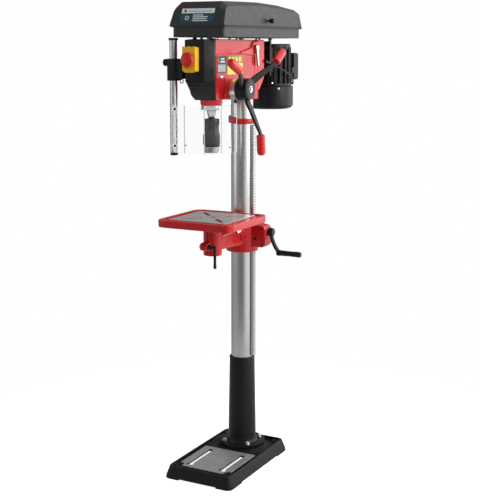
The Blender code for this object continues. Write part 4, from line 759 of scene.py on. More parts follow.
# Quill and chuck.
def build_spindle():
    quill = turned(((0.02, 1.291), (0.035, 1.291), (0.035, 1.3075), (0.029, 1.3075), (0.029, 1.505),
        (0.012, 1.505), (0.012, 1.33), (0.02, 1.33)), FINE, centre=SPINDLE, ring=True, soft=0.001)
    quill = carved(quill, cuts=[block((-0.0105, -0.1997, 1.344), (0.0105, -0.172, 1.462))], solver="EXACT")
    make("quill_sleeve", quill, "turned_steel", "quill", "quill")
    keep_node("lower_bearing", "chrome")
    arbor = ((0, 1.236), (0.008, 1.236), (0.0085, 1.2613), (0.0108, 1.2625), (0.0165, 1.288),
        (0.0185, 1.2895), (0.0185, 1.3005), (0.016, 1.302), (0.016, 1.309), (0.0125, 1.311), (0.0125, 1.3295),
        (0.0085, 1.332), (0.0085, 1.64), (0, 1.64))
    make("arbor", turned(arbor, 64, centre=SPINDLE, soft=0.0007), "chrome", "spindle", "spindle")
    body = turned(((0, 1.232), (0.0088, 1.232), (0.0088, 1.261), (0.0262, 1.261), (0.0266, 1.2405),
        (0.0225, 1.2405), (0.0225, 1.1705), (0.0144, 1.1705), (0.0215, 1.205), (0.0215, 1.226), (0, 1.226)),
        FINE, centre=SPINDLE, soft=0.001)
    notches = around(lambda: block((0.0222, SPINDLE_Y - 0.006, 1.2462), (0.035, SPINDLE_Y + 0.006, 1.27),
        0.001), evenly(6), "Z", (0, SPINDLE_Y, 0))
    make("chuck_core", carved(body, cuts=notches, solver="EXACT"), "chuck", "spindle", "chuck_body",
        crease=30)
    nose = turned(((0.0144, 1.1703), (0.0272, 1.1703), (0.027, 1.168), (0.0218, 1.1522), (0.0208, 1.1515),
        (0.0108, 1.1515)), FINE, centre=SPINDLE, ring=True, soft=0.0005)
    make("chuck_nose_ring", nose, "turned_steel", "spindle")
    sections = ((0.0266, 1.1708), (0.0276, 1.1745), (0.0288, 1.181), (0.029, 1.195), (0.0286, 1.209),
        (0.0278, 1.2125), (0.0266, 1.217), (0.0256, 1.2225), (0.0254, 1.233), (0.0257, 1.24))
    rings = [ribbed_ring(radius, z, 192, 0.0007 if 1.178 < z < 1.211 else 0.0, 2, centre=SPINDLE)
        for radius, z in sections]
    rings += [ribbed_ring(0.0228, z, 192, centre=SPINDLE) for z in (1.24, 1.1708)]
    sleeve = loft(rings + [rings[0]], ends=False)
    bmesh.ops.remove_doubles(sleeve, verts=sleeve.verts, dist=1e-6)
    make("chuck_grip", sleeve, "chuck", "chuck_sleeve", "chuck_sleeve", crease=30)
    for i in range(3):
        keep_node(f"chuck_jaw_{i + 1}", "turned_steel")


# Feed levers and depth ring.
def build_feed():
    make("pinion_shaft", turned(((0, -0.0875), (0.007, -0.0875), (0.007, -0.0095), (0.013, -0.009),
        (0.013, 0.009), (0.0085, 0.0095), (0.0085, 0.126), (0, 0.126)), ROUND, "X", FEED, soft=0.0006),
        "turned_steel", "feed", "feed_shaft")
    hub = turned(((0.0088, 0.0865), (0.036, 0.0865), (0.038, 0.0885), (0.038, 0.1), (0.035, 0.1035),
        (0.035, 0.107), (0.036, 0.109), (0.036, 0.1275), (0.0335, 0.13), (0.0088, 0.13)), FINE, "X", FEED,
        True, 0.0012)
    make("lever_hub", hub, "black", "feed", "feed_hub")
    make("hub_face", turned(((0.0088, 0.1297), (0.029, 0.1297), (0.029, 0.1312), (0.0088, 0.1312)), ROUND,
        "X", FEED, True, 0.0004), "black", "feed")
    make("hub_screw", joined(turned(((0, 0.1255), (0.0078, 0.1255), (0.0078, 0.1335), (0.0062, 0.1352),
        (0, 0.1352)), 6, "X", FEED), tube(0.0115, 0.0079, 0.1312, 0.1324, "X", FEED, SMALL, 0.0003)),
        "chrome", "feed")


def build_levers():
    pivot = (0, FEED_Y, FEED_Z)
    for i, degrees in enumerate(LEVER_ANGLES):
        rings = []
        for reach, half_width, half_thick in ((0.0363, 0.0128, 0.0055), (0.05, 0.0126, 0.0053),
                (0.075, 0.0118, 0.005), (0.11, 0.0098, 0.0047), (0.135, 0.0084, 0.0045),
                (ARM_BEND_REACH, 0.0072, 0.0044), (0.162, 0.0066, 0.0042)):
            x = ARM_ROOT_X + ARM_LEAN * (min(reach, ARM_BEND_REACH) - ARM_ROOT_REACH)
            rings.append([(x + u, FEED_Y + v, FEED_Z - reach)
                for u, v in rectangle((-half_thick, -half_width), (half_thick, half_width), 0.0026, 4)])
        angle = radians(degrees)
        make(f"lever_{i + 1}", spun(loft(rings), angle, "X", pivot), "black", "feed", f"feed_arm_{i + 1}",
            crease=50)
        profile = ((0, 0.0), (0.012, 0.0), (0.015, 0.0035), (0.0142, 0.012), (0.0148, 0.03), (0.015, 0.05),
            (0.0143, 0.06), (0.0105, 0.0685), (0.004, 0.07), (0, 0.07))
        grip = turned(profile, ROUND, soft=0.003)
        place = (Matrix.Translation((ARM_ROOT_X + ARM_LEAN * 0.116, FEED_Y, FEED_Z - GRIP_REACH))
            @ Matrix.Rotation(pi, 4, "Y"))
        make(f"lever_grip_{i + 1}", spun(moved(grip, place), angle, "X", pivot), "grip", "feed",
            f"feed_grip_{i + 1}", crease=60)


def build_depth_ring():
    pivot = (0, FEED_Y, FEED_Z)
    make("depth_dial", tube(0.034, 0.009, 0.0645, 0.086, "X", FEED, FINE, 0.0006), "aluminium", "depth_ring",
        "depth_ring")
    marks = []
    for i in range(60):
        length = 0.006 if i % 5 == 0 else 0.0035
        mark = block((0.085 - length, FEED_Y - 0.00022, FEED_Z + 0.0335),
            (0.085, FEED_Y + 0.00022, FEED_Z + 0.03412))
        marks.append(spun(mark, tau * i / 60, "X", pivot))
    make("depth_marks", joined(*marks), "ink", "depth_ring")
    figures = []
    for i in range(6):
        curve = bpy.data.curves.new("figure", "FONT")
        curve.body, curve.size, curve.extrude = str(i * 10), 0.0052, 0.00015
        curve.align_x, curve.align_y = "CENTER", "CENTER"
        text = linked("figure", curve)
        figure = evaluated(text)
        bpy.data.objects.remove(text)
        place = Matrix.Translation((0.0755, FEED_Y, FEED_Z + 0.0341)) @ Matrix.Rotation(pi / 2, 4, "Z")
        figures.append(spun(moved(figure, place), tau * (i + 0.5) / 6 + 0.3, "X", pivot))
    make("depth_figures", joined(*figures), "ink", "depth_ring")
    lock = turned(((0, -0.0475), (0.005, -0.0475), (0.0056, -0.0465), (0.0056, -0.0395), (0.004, -0.038),
        (0.0025, -0.0375), (0.0025, -0.033), (0, -0.033)), SMALL, "Z", (0.072, 0))
    make("depth_lock", moved(lock, Matrix.Translation(pivot)), "plastic", "depth_ring")


# Belt cover, pulleys and belts.
def cone_pulley(steps, bore, hub_low):
    """The half section of a stepped pulley with a groove in each step."""
    low_z, step, rim, depth = PULLEY_LOW_Z, PULLEY_STEP, 0.0045, GROOVE_DEPTH
    profile = [(bore, hub_low), (bore + 0.006, hub_low), (bore + 0.006, low_z)]
    for i, radius in enumerate(steps):
        low = low_z + i * step
        profile += [(radius, low), (radius, low + rim), (radius - depth, low + rim + 0.0022),
            (radius - depth, low + step - rim - 0.0022), (radius, low + step - rim)]
    top = low_z + len(steps) * step
    return profile + [(steps[-1], top), (bore, top)]


def belt(step, front_y, front_radius, rear_y, rear_radius):
    """A V-belt round two steps, with its straight runs touching both."""
    middle = PULLEY_LOW_Z + (step + 0.5) * PULLEY_STEP
    lean = asin((rear_radius - front_radius) / (rear_y - front_y))
    loops = []
    for offset, rise in ((0.0008, -0.0031), (0.008, -0.004), (0.008, 0.004), (0.0008, 0.0031)):
        points = []
        for y, radius, start, sweep in ((rear_y, rear_radius, -lean, pi + 2 * lean),
                (front_y, front_radius, pi + lean, pi - 2 * lean)):
            for i in range(33):
                angle = start + sweep * i / 32
                reach = radius - GROOVE_DEPTH + offset
                points.append((reach * cos(angle), y + reach * sin(angle), middle + rise))
        loops.append(points)
    return loft(loops + [loops[0]], ends=False)


def build_tub():
    outer = rectangle((-0.098, -0.313), (0.098, 0.272), 0.016, 8)
    lip = rectangle((-0.106, -0.321), (0.106, 0.28), 0.02, 8)
    tub = carved(prism(outer, TUB_LOW_Z, 1.57, edge=0.0025), adds=[prism(lip, 1.568, 1.571, edge=0.0008)],
        cuts=[prism(inset(outer, 0.003), 1.538, 1.6), rod(0.026, 1.52, 1.55, centre=SPINDLE),
        rod(0.013, 1.52, 1.55, centre=IDLER), rod(0.03, 1.52, 1.55, centre=MOTOR)])
    make("tub", tub, "shell", stands_for="belt_tub", crease=30, weigh=True)


def build_lid():
    stations = ((-0.3195, 1.5765, 1.5785), (-0.2985, 1.622, 1.63), (-0.283, 1.634, 1.651),
        (-0.155, 1.64, 1.6535), (-0.03, 1.643, 1.655), (0.12, 1.637, 1.65), (0.262, 1.622, 1.638),
        (0.2745, 1.5765, 1.5785))
    bm = bmesh.new()
    rows = []
    for y, edge_z, top_z in stations:
        wall = 0.1035 - 0.1 * (edge_z - LID_LOW_Z)
        half = [(wall, LID_LOW_Z + 0.004), (wall, edge_z), (0.076, top_z)]
        rows.append([bm.verts.new((x, y, z)) for x, z in [(-x, z) for x, z in half] + half[::-1]])
    for a, b in zip(rows, rows[1:]):
        for i in range(len(a) - 1):
            bm.faces.new((a[i], a[i + 1], b[i + 1], b[i]))
    for row in (rows[0], rows[-1]):
        bm.faces.new(row)
    shape = temporary(bm)
    modifier = shape.modifiers.new("edges", "BEVEL")
    modifier.width, modifier.segments, modifier.limit_method = 0.0055, 5, "ANGLE"
    modifier.angle_limit = radians(14)
    bm = evaluated(shape)
    bpy.data.objects.remove(shape)
    rim = [edge for edge in bm.edges if edge.is_boundary]
    for drop, grow in ((0.0012, 0.0006), (0.0012, 0.0022), (0.0016, 0.0)):
        grown = bmesh.ops.extrude_edge_only(bm, edges=rim)["geom"]
        for vert in (item for item in grown if isinstance(item, bmesh.types.BMVert)):
            if abs(vert.co.x) > 0.08:
                vert.co.x += copysign(grow, vert.co.x)
            if abs(vert.co.y + 0.0225) > 0.28:
                vert.co.y += -0.3 * grow if vert.co.y < 0 else grow
            vert.co.z -= drop
        rim = [item for item in grown if isinstance(item, bmesh.types.BMEdge) and item.is_boundary]
    lid = make("cover", bm, "shell", "lid", "lid", crease=40)
    wall = lid.modifiers.new("wall", "SOLIDIFY")
    wall.thickness, wall.offset = 0.0022, -1.0
    smooth = lid.modifiers.new("even_faces", "WEIGHTED_NORMAL")
    smooth.keep_sharp = True
    make("cover_knob", turned(((0, 0.094), (0.003, 0.094), (0.003, 0.103), (0.0065, 0.1032), (0.0084, 0.106),
        (0.0084, 0.119), (0.007, 0.1205), (0, 0.1205)), ROUND, "X", (0.01, 1.593), soft=0.0006), "plastic",
        "lid", "lid_knob")
    hinge = [rod(0.004, y, y + 0.045, "Y", (-0.1075, 1.57), SMALL, 0.0006) for y in (-0.235, 0.15)]
    make("hinge_barrels", joined(*hinge), "plastic")


def build_pulleys():
    for name, steps, bore, hub_low, centre, body, node in (
            ("front_pulley", (0.06, 0.052, 0.044), 0.009, 1.53, SPINDLE, "drive_sleeve", "spindle_pulley"),
            ("middle_pulley", (0.034, 0.046, 0.058), 0.0065, 1.546, IDLER, "idler", "idler_pulley"),
            ("drive_pulley", (0.046, 0.038, 0.03), 0.0078, 1.548, MOTOR, "motor_drive", "motor_pulley")):
        pulley = turned(cone_pulley(steps, bore, hub_low), 64, centre=centre, ring=True, soft=0.0005)
        make(name, pulley, "aluminium", body, node)
    make("idler_post", turned(((0, 1.492), (0.008, 1.492), (0.008, 1.5435), (0.006, 1.5435), (0.006, 1.607),
        (0, 1.607)), ROUND, centre=IDLER, soft=0.0006), "turned_steel", stands_for="idler_arm")
    make("belt_rear", belt(2, IDLER_Y, 0.058, MOTOR_Y, 0.03), "rubber", stands_for="rear_belt")
    make("belt_front", belt(0, SPINDLE_Y, 0.06, IDLER_Y, 0.034), "rubber", stands_for="front_belt")


def build_tension_lever():
    lever = turned(((0, 0.048), (0.005, 0.048), (0.005, 0.0612), (0.01, 0.0618), (0.0105, 0.0635),
        (0.0105, 0.0692), (0.0088, 0.0705), (0, 0.0705)), ROUND, "X", LEVER, soft=0.0006)
    reach = 0.062
    bar = loft([[(x, y, -w) for x, y in rectangle((0.0632, -h), (0.0692, h), 0.0018, 4)]
        for w, h in ((0.0, 0.0085), (0.012, 0.0082), (reach * 0.9, 0.0056), (reach * 0.97, 0.0048),
        (reach, 0.003))])
    moved(bar, Matrix.Translation((0, *LEVER)) @ Matrix.Rotation(radians(9), 4, "X"))
    make("belt_lever", joined(lever, bar), "chrome", "tension_lever", "tension_lever", crease=45)


# Motor.
def build_motor():
    low, high = MOTOR_LOW_Z, MOTOR_TOP_Z
    fins = []
    for i in range(20):
        for offset, radius in ((0.0, 0.078), (0.26, 0.078), (0.42, 0.0685), (0.84, 0.0685)):
            angle = tau * (i + offset) / 20
            fins.append((radius * cos(angle), MOTOR_Y + radius * sin(angle)))
    body = prism(fillet(fins, 0.0016, 2), low, high - 0.012, edge=0.0008)
    adds = [turned(((0, high - 0.02), (0.075, high - 0.02), (0.075, high - 0.003), (0.071, high), (0, high)),
        FINE, centre=MOTOR, soft=0.001), rod(0.0795, low, low + 0.01, centre=MOTOR, count=FINE, soft=0.001),
        block((-0.06, 0.1, 1.4), (0.06, 0.112, 1.524), 0.004, 0.001),
        block((-0.045, 0.105, 1.415), (0.045, 0.175, 1.5))]
    cuts = [rod(0.052, low - 0.01, high - 0.01, centre=MOTOR, count=ROUND),
        rod(0.0085, high - 0.02, high + 0.02, centre=MOTOR),
        block((-0.01, MOTOR_Y + 0.04, 1.42), (0.01, MOTOR_Y + 0.11, 1.44))]
    make("motor_case", carved(body, adds, cuts), "black", stands_for="motor_body", crease=34)
    make("motor_rods", joined(*(rod(0.0082, 0.047, 0.106, "Y", (x, 1.5), soft=0.0008)
        for x in (-0.035, 0.035))), "turned_steel")


def build_fan_cover():
    low, cover_low = MOTOR_LOW_Z, FAN_COVER_LOW_Z
    cover = turned(((0, cover_low), (0.064, cover_low), (0.079, cover_low + 0.004),
        (0.086, cover_low + 0.014), (0.086, low - GAP), (0.083, low - GAP), (0.083, cover_low + 0.015),
        (0.076, cover_low + 0.007), (0.063, cover_low + 0.003), (0, cover_low + 0.003)), FINE, centre=MOTOR,
        soft=0.003)
    vents = around(lambda: prism(rectangle((0.022, MOTOR_Y - 0.0035), (0.056, MOTOR_Y + 0.0035), 0.0033, 4),
        cover_low - 0.01, cover_low + 0.01), evenly(12), "Z", (0, MOTOR_Y, 0))
    make("motor_fan_cover", carved(cover, cuts=vents), "black", stands_for="fan_cover", crease=40)
    screws = around(lambda: cap_screw((MOTOR_Y, 1.353), 0.0855, 0.0045, 0.003, "X"), (-42, 48, 138, 228), "Z",
        (0, MOTOR_Y, 0))
    make("fan_cover_screws", joined(*screws), "chrome")
    for name, shape, finish in (("tie_rods", lambda: rod(0.0026, low + 0.008, MOTOR_TOP_Z - 0.018,
            centre=(0.0735, MOTOR_Y), count=16), "dark"), ("tie_nuts",
            lambda: hex_screw((0.0735, MOTOR_Y), low + 0.0095, 0.0052, 0.006), "chrome")):
        make(name, joined(*around(shape, (-58, 32, 122, 212), "Z", (0, MOTOR_Y, 0))), finish)
    make("rotor", turned(((0, 1.3), (0.06, 1.3), (0.06, 1.33), (0.02, 1.332), (0.0075, 1.3325),
        (0.0075, 1.38), (0.048, 1.38), (0.048, 1.48), (0.0075, 1.48), (0.0075, 1.611), (0, 1.611)), ROUND,
        centre=MOTOR, soft=0.0006), "turned_steel", "motor_drive", "motor_rotor")


def build_terminal_box():
    box = carved(prism(rectangle((-0.06, 1.382), (0.06, 1.482), 0.008, 6), 0.3015, 0.334, "Y", 0.001),
        adds=[prism(rectangle((-0.0585, 1.3835), (0.0585, 1.4805), 0.007, 6), 0.3345, 0.343, "Y", 0.0018),
        prism(rectangle((-0.057, 1.385), (0.057, 1.479), 0.006, 6), 0.33, 0.336, "Y"),
        block((GLAND[0] - 0.01, GLAND[1] - 0.0075, 1.408), (GLAND[0] + 0.01, 0.305, 1.428), 0.003, 0.0008)],
        cuts=[rod(0.0034, 1.38, 1.4145, centre=GLAND)])
    make("terminal_case", box, "plastic", stands_for="terminal_box", crease=40)
    corners = [(x, z) for x in (-0.05, 0.05) for z in (1.392, 1.472)]
    make("terminal_screws", joined(*(turned(((0, 0.3415), (0.0032, 0.3415), (0.003, 0.3438), (0, 0.3446)), 16,
        "Y", c) for c in corners)), "chrome")
    boot = [(0.003, 1.4082), (0.0078, 1.4082)]
    for i in range(5):
        level = 1.4062 - 0.0042 * i
        boot += [(0.0074 - 0.0007 * i, level), (0.0074 - 0.0007 * i, level - 0.002),
            (0.006 - 0.0006 * i, level - 0.0024), (0.006 - 0.0006 * i, level - 0.0036)]
    make("lead_boot", turned(boot + [(0.003, 1.385)], SMALL, centre=GLAND, ring=True), "rubber")


def build_lead():
    """The motor's lead, a smooth curve through its route's control points."""
    route = [Vector((*GLAND, 1.412)), Vector((*GLAND, 1.404))]
    for degrees in range(180, 309, 32):
        angle = radians(degrees)
        route.append(Vector((*GLAND, 1.396 + 0.03 * sin(angle)))
            + Vector((0.6, -0.8, 0)) * 0.03 * (1 + cos(angle)))
    route += [Vector(point) for point in ((0.0865, 0.2365, 1.383), (0.0915, 0.2155, 1.3935),
        (0.0925, 0.194, 1.4035), (0.09, 0.1725, 1.413), (0.085, 0.1515, 1.422), (0.0785, 0.131, 1.431),
        (0.071, 0.111, 1.439), (0.064, 0.0895, 1.4465), (0.058, 0.0665, 1.453))]
    ends = [route[0] * 2 - route[1], *route, route[-1] * 2 - route[-2]]
    points = []
    for a, b, c, d in zip(ends, ends[1:], ends[2:], ends[3:]):
        for i in range(4):
            t = i / 4
            points.append(PLACE + (a * (1 - t) ** 3 + b * (3 * t ** 3 - 6 * t ** 2 + 4)
                + c * (3 * t + 3 * t ** 2 - 3 * t ** 3 + 1) + d * t ** 3) / 6)
    points.append(PLACE + route[-1])
    curve = bpy.data.curves.new("lead", "CURVE")
    curve.dimensions, curve.bevel_depth, curve.bevel_resolution, curve.use_fill_caps = "3D", 0.0028, 5, True
    spline = curve.splines.new("POLY")
    spline.points.add(len(points) - 1)
    for knot, point in zip(spline.points, points):
        knot.co = (*point, 1.0)
    curve.materials.append(M["rubber"])
    lead = linked("lead", curve)
    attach(lead, "frame")
    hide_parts("motor_lead")
    sleeve = turned(((0.0029, 0.0655), (0.0065, 0.0655), (0.0065, 0.069), (0.0045, 0.074), (0.0036, 0.09),
        (0.0029, 0.09)), SMALL, "Y", (0, 0), True)
    place = Matrix.Translation((0.058, 0.0665, 1.453)) @ Matrix.Rotation(-0.27, 4,
        "Z") @ Matrix.Rotation(-0.24, 4, "X") @ Matrix.Translation((0, -0.0665, 0))
    make("lead_sleeve", moved(sleeve, place), "rubber")


# Table, its arm, bracket and crank.
def build_bracket():
    bracket = turned(((0, 0.775), (0.058, 0.775), (0.058, 0.872), (0, 0.872)), FINE, soft=0.0025)
    house = fillet([(0.03, 0.795), (0.094, 0.795), (0.106, 0.807), (0.106, 0.86), (0.098, 0.872),
        (0.074, 0.876), (0.03, 0.876)], 0.006)
    adds = [prism(house, -0.027, 0.027, "Y", 0.003), rod(0.038, -0.065, -0.03, "Y", (0, TILT_Z), ROUND),
        block((-0.082, -0.019, 0.8), (-0.045, 0.019, 0.85), 0.004),
        rod(0.015, 0.09, 0.1078, "X", (0, CRANK_Z), SMALL)]
    cuts = [rod(0.0405, 0.75, 0.9, count=FINE), block((0.03, -0.01, 0.75), (0.0526, 0.01, 0.9)),
        block((0.045, -0.0105, 0.8085), (0.094, 0.0105, 0.8625)), rod(0.0068, 0.08, 0.12, "X", (0, CRANK_Z)),
        rod(0.0053, -0.04, 0.04, "Y", GEAR_AXIS), block((-0.09, -0.002, 0.76), (-0.035, 0.002, 0.88)),
        rod(0.0056, -0.03, 0.03, "Y", COLUMN_LOCK)]
    make("bracket_casting", carved(bracket, adds, cuts, voxel=0.0012, rounds=4, keep=0.25), "red", "bracket",
        "bracket", crease=60, weigh=True)
    make("gear_pin_end", rod(0.0049, -0.0276, -0.0268, "Y", GEAR_AXIS), "dark", "bracket")
    make("house_screws", joined(*(cap_screw((x, z), -0.0268, 0.003, 0.002, "Y", -1)
        for x, z in ((0.092, 0.862), (0.096, 0.806)))), "dark", "bracket")


def build_lift():
    """The pinion on the rack and the worm on the crank's shaft that turns it."""
    gear = []
    for i in range(14):
        for offset, radius in ((0.0, 0.0135), (0.2, 0.0135), (0.44, 0.0107), (0.8, 0.0107)):
            angle = tau * (i + offset) / 14
            gear.append((GEAR_AXIS[0] + radius * cos(angle), GEAR_AXIS[1] + radius * sin(angle)))
    make("pinion_gear", carved(prism(gear, -0.0085, 0.0085, "Y", 0.0003),
        adds=[rod(0.005, -0.0255, 0.0255, "Y", GEAR_AXIS)]), "turned_steel", "lift_gear", "lift_gear",
        crease=25)
    worm = [(0, 0.055), (0.0062, 0.055)]
    for i in range(6):
        x = 0.0565 + 0.0058 * i
        worm += [(0.0062, x), (0.009, x + 0.0016), (0.009, x + 0.0032), (0.0062, x + 0.0048)]
    make("worm_shaft", turned(worm + [(0.0062, 0.124), (0, 0.124)], SMALL, "X", (0, CRANK_Z)), "turned_steel",
        "crank", "crank_shaft")


def build_crank():
    rings = []
    for i in range(25):
        t = i / 24
        ahead = Vector((0.016 * pi * sin(pi * t), 0, -CRANK_THROW * pi / 2 * cos(pi * t / 2)))
        if i in (0, 24):
            ahead = Vector((0.0, 0, -1)) if i == 0 else Vector((0.3, 0, -1))
        point = Vector((0.118 + 0.032 * (1 - cos(pi * t)) / 2, 0.0, CRANK_Z - CRANK_THROW * sin(pi * t / 2)))
        side = Vector((0, 1, 0))
        outward = side.cross(ahead).normalized()
        rings.append([point + outward * 0.0066 * cos(a) + side * 0.0092 * sin(a)
            for a in (tau * k / 24 for k in range(24))])
    hub = turned(((0, 0.1085), (0.0145, 0.1085), (0.0145, 0.124), (0.0125, 0.127), (0, 0.127)), ROUND, "X",
        (0, CRANK_Z), soft=0.0012)
    end = turned(((0, 0.142), (0.0108, 0.142), (0.0108, 0.1555), (0.004, 0.1555), (0.004, 0.228), (0, 0.228)),
        ROUND, "X", (0, CRANK_Z - CRANK_THROW), soft=0.001)
    crank = carved(loft(rings), adds=[hub, end], cuts=[rod(0.0065, 0.1, 0.1245, "X", (0, CRANK_Z))])
    make("crank_handle", crank, "black", "crank", "crank_arm", crease=40)
    make("crank_set_screw", cap_screw((0.1165, 0), CRANK_Z + 0.014, 0.0028, 0.0016), "dark", "crank")
    grip = turned(((0, 0.2295), (0.0045, 0.2295), (0.0045, 0.1562), (0.0085, 0.1562), (0.01, 0.162),
        (0.0093, 0.19), (0.01, 0.222), (0.01, 0.229), (0.0082, 0.2345), (0, 0.235)), ROUND, "X",
        (0, CRANK_Z - CRANK_THROW), soft=0.0012)
    make("crank_handgrip", grip, "plastic", "crank_grip", "crank_grip")


def build_column_lock():
    stud = turned(((0, 0.024), (0.0053, 0.024), (0.0053, -0.0198), (0.0092, -0.0198), (0.0092, -0.04),
        (0.007, -0.0418), (0, -0.0418)), SMALL, "Y", COLUMN_LOCK, soft=0.0007)
    handle = turned(((0, 0.781), (0.0058, 0.782), (0.0062, 0.79), (0.005, 0.798), (0.0046, 0.825),
        (0, 0.829)), SMALL, centre=(-0.066, -0.031), soft=0.001)
    make("column_clamp", joined(stud, handle), "black", "column_lock", "column_lock")


def build_table_arm():
    arm = loft([[(x, y, z) for x, z in rectangle((-hx, low), (hx, high), 0.009)]
        for y, hx, low, high in ((ARM_FACE_Y, 0.033, 0.803, 0.867), (-0.1, 0.029, 0.806, 0.864),
        (-0.19, 0.026, 0.809, 0.864), (TABLE_Y, 0.022, 0.815, 0.86))])
    adds = [turned(((0, 0.793), (0.032, 0.793), (0.032, 0.893), (0, 0.893)), FINE, centre=TABLE, soft=0.002),
        rod(0.038, -0.076, ARM_FACE_Y - GAP, "Y", (0, TILT_Z), ROUND), rod(0.014, -0.018, 0.01, "X", LOBE),
        block((-0.018, LOBE_Y, LOBE_Z - 0.014), (0.01, TABLE_Y - 0.02, LOBE_Z + 0.014))]
    cuts = [rod(0.0154, 0.78, 0.91, centre=TABLE, count=ROUND),
        block((-0.0055, LOBE_Y - 0.03, 0.78), (-0.0025, TABLE_Y, 0.91)), rod(0.0046, -0.03, 0.02, "X", LOBE)]
    make("arm_casting", carved(arm, adds, cuts, voxel=0.0012, rounds=4, keep=0.25), "red", "table_arm",
        "table_arm", crease=60, weigh=True)
    pointer = prism(fillet([(-0.005, -0.1), (0.005, -0.1), (0.0035, -0.074), (0, -0.068), (-0.0035, -0.074)],
        0.001, 3), 0.0, 0.0012)
    make("tilt_pointer", moved(pointer, Matrix.Translation((0.0335, 0, 0.858))
        @ Matrix.Rotation(radians(62), 4, "Y")), "chrome", "table_arm")

    lock = turned(((0, -0.0225), (0.0042, -0.0225), (0.0042, 0.0105), (0.0088, 0.0105), (0.0088, 0.022),
        (0.0052, 0.0225), (0.0052, 0.037), (0.0035, 0.0385), (0, 0.0385)), SMALL, "X", LOBE, soft=0.0006)
    handle = turned(((0, LOBE_Z - 0.0735), (0.005, LOBE_Z - 0.0725), (0.0055, LOBE_Z - 0.068),
        (0.0047, LOBE_Z - 0.055), (0.005, LOBE_Z + 0.003), (0, LOBE_Z + 0.006)), SMALL,
        centre=(0.034, LOBE_Y), soft=0.0012)
    nut = turned(((0, -0.0185), (0.008, -0.0185), (0.008, -0.0225), (0.0068, -0.0238), (0, -0.0238)), 6, "X",
        LOBE)
    make("table_clamp", joined(lock, handle), "black", "table_lock", "table_lock")
    make("table_clamp_nut", nut, "chrome", "table_arm")


def square(half, radius):
    """A square outline centred on the table."""
    return rectangle((-half, TABLE_Y - half), (half, TABLE_Y + half), radius, 10)


def spokes(low, high):
    """The four diagonal slots of the table."""
    half = TABLE_SLOT_HALF
    return around(lambda: prism(rectangle((0.036, TABLE_Y - half), (0.118, TABLE_Y + half), half * 0.9, 5),
        low, high), evenly(4, 0.5), "Z", (0, TABLE_Y, 0))


def build_table_top():
    top = TABLE_TOP_Z - 0.0008
    skirt = prism(square(TABLE_HALF, 0.042), 0.9, TABLE_TOP_Z, edge=0.0035, steps=5)
    gutter = carved(prism(square(0.129, 0.03), top - 0.0032, 0.95),
        cuts=[prism(square(TABLE_FACE_HALF, 0.012), 0.9, 0.96)])
    skirt = carved(skirt, adds=[rod(0.03, 0.8933, 0.915, centre=TABLE, count=ROUND)],
        cuts=[prism(square(0.135, 0.032), 0.88, 0.912)])
    skirt = carved(skirt, adds=[rod(0.015, 0.797, 0.915, centre=TABLE, count=ROUND),
        rod(0.03, 0.8933, 0.915, centre=TABLE, count=ROUND)],
        cuts=[gutter, prism(square(0.1112, 0.012), top - 0.0004, 0.95), rod(0.0105, 0.86, 0.94, centre=TABLE)]
        + spokes(0.88, 0.94))
    make("table_casting", skirt, "smooth_red", "table", "table_top", crease=35, weigh=True)
    plate_top = prism(square(TABLE_FACE_HALF, 0.012), top - 0.0006, TABLE_TOP_Z, edge=0.0005)
    plate_top = carved(plate_top, cuts=[rod(0.0105, 0.86, 0.94, centre=TABLE)] + spokes(0.88, 0.94))
    make("table_face", plate_top, "face", "table", crease=30, weigh=True)


# Guard.
def build_rail():
    outline = []
    for i in range(8):
        for offset, radius in ((-0.34, RAIL_R), (-0.17, RAIL_R), (0.0, RAIL_R), (0.17, RAIL_R),
                (0.34, RAIL_R), (0.37, 0.0096), (0.63, 0.0096)):
            angle = tau * (i + offset) / 8
            outline.append((RAIL_X + radius * cos(angle), RAIL_Y + radius * sin(angle)))
    make("rail", prism(outline, 1.147, 1.528), "aluminium", "guard_rail", "guard_rail", crease=30)
    caps = (turned(((0, 1.5255), (0.015, 1.5255), (0.016, 1.527), (0.016, 1.531), (0.0145, 1.533),
        (0, 1.533)), ROUND, centre=RAIL, soft=0.0005), turned(((0, 1.142), (0.0125, 1.142), (0.0132, 1.1435),
        (0.0132, 1.1495), (0.0131, 1.151), (0, 1.151)), ROUND, centre=RAIL, soft=0.0005))
    make("rail_caps", joined(*caps), "plastic", "guard_rail")


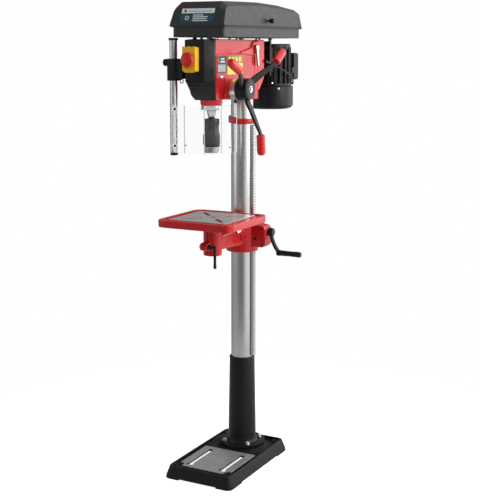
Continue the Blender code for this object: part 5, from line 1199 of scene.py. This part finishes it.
def build_guard_clamp():
    clamp = block((-0.118, -0.318, 1.392), (-0.081, -0.282, 1.465), 0.008, 0.0015)
    lug = block((-0.097, -0.313, 1.398), (-0.0578, -0.287, 1.459), 0.004, 0.001)
    lines = [block((-0.14, -0.33, z), (-0.08, -0.3165, z + 0.0016)) for z in (1.404, 1.41, 1.416, 1.422)]
    clamp = carved(clamp, adds=[lug, rod(0.0115, -0.1185, -0.113, "X", RAIL_KNOB, ROUND)],
        cuts=[rod(0.0137, 1.38, 1.48, centre=RAIL, count=ROUND), rod(0.0035, -0.15, -0.111, "X", RAIL_KNOB)]
        + lines)
    make("guard_bracket", clamp, "plastic", stands_for="guard_clamp", crease=35)
    ribs = [ribbed_ring(radius, RAIL_KNOB_X + along, 96, 0.0008, 3, "X", RAIL_KNOB)
        for along, radius in ((0.0005, 0.01), (-0.002, 0.012), (-0.0155, 0.012), (-0.018, 0.0095))]
    make("clamp_knob", joined(loft(ribs), rod(0.003, -0.12, -0.1155, "X", RAIL_KNOB)), "plastic",
        "guard_knob", "guard_knob", crease=30)
    wire = [(0.0062 + 0.0016 * cos(b), 0.0016 * sin(b)) for b in (tau * k / 12 for k in range(12))]
    loops = []
    for a in (tau * i / 32 for i in range(32)):
        loops.append([(-0.06 + u * cos(a), -0.3155 + v, 1.391 + u * sin(a)) for u, v in wire])
    eyelet = loft(loops + [loops[0]], ends=False)
    bmesh.ops.remove_doubles(eyelet, verts=eyelet.verts, dist=1e-6)
    make("guard_eyelet", eyelet, "dark")


def build_shield():
    path = fillet([(RAIL_X + 0.0026, RAIL_Y - 0.0148), (-0.07, -0.314), (-0.042, -0.33), (0.034, -0.33),
        (0.078, -0.292), (0.092, -0.214)], 0.01, 6, closed=False)
    low, high = SHIELD_LOW_Z, SHIELD_TOP_Z
    outside, inside = [], []
    for i, point in enumerate(path):
        before, after = Vector(path[max(i - 1, 0)]), Vector(path[min(i + 1, len(path) - 1)])
        normal = Vector((-(after - before).y, (after - before).x)).normalized() * 0.0014
        outside.append(Vector(point) - normal)
        inside.append(Vector(point) + normal)
    outline = [tuple(p) for p in outside + inside[::-1]]
    make("shield", prism(outline, low, high, edge=0.0005, steps=2), "clear", "guard_shield", "guard_shield",
        crease=30)
    # Light grey rods along the shield's bends: a painted highlight for the light the clear sheet catches
    # there, not part of the sheet.
    fold_highlights = [rod(0.0016, low + 0.0005, high - 0.0005, centre=path[4 + 7 * k], count=12) for k in (1, 2, 3)]
    make("shield_folds", joined(*fold_highlights), "fold", "guard_shield")
    screws = []
    for z in SHIELD_SCREWS_Z:
        screws += [cap_screw((-0.0885, z), -0.3155, 0.0042, 0.0022, "Y", -1),
            rod(0.0022, -0.316, -0.309, "Y", (-0.0885, z), 16)]
    for x, y, z in ((-0.036, -0.3315, 1.18), (0.086, -0.25, 1.172)):
        screws.append(rod(0.0022, y - 0.0016, y + 0.0016, "Y", (x, z), 16, 0.0004))
    make("shield_screws", joined(*screws), "dark", "guard_shield")
    straps = [block((RAIL_X - 0.004, -0.3146, z - 0.006), (-0.08, -0.3128, z + 0.006), 0.001)
        for z in SHIELD_SCREWS_Z]
    make("shield_straps", joined(*straps), "aluminium", "guard_shield")


for build in (build_camera, build_floor, build_world, build_lamps, build_materials, build_stand, build_column,
        build_head, build_nose, build_spring, build_switch, build_labels, build_front_label, build_spindle,
        build_feed, build_levers, build_depth_ring, build_tub, build_lid, build_pulleys, build_tension_lever,
        build_motor, build_fan_cover, build_terminal_box, build_lead, build_bracket, build_lift, build_crank,
        build_column_lock, build_table_arm, build_table_top, build_rail, build_guard_clamp, build_shield):
    build()
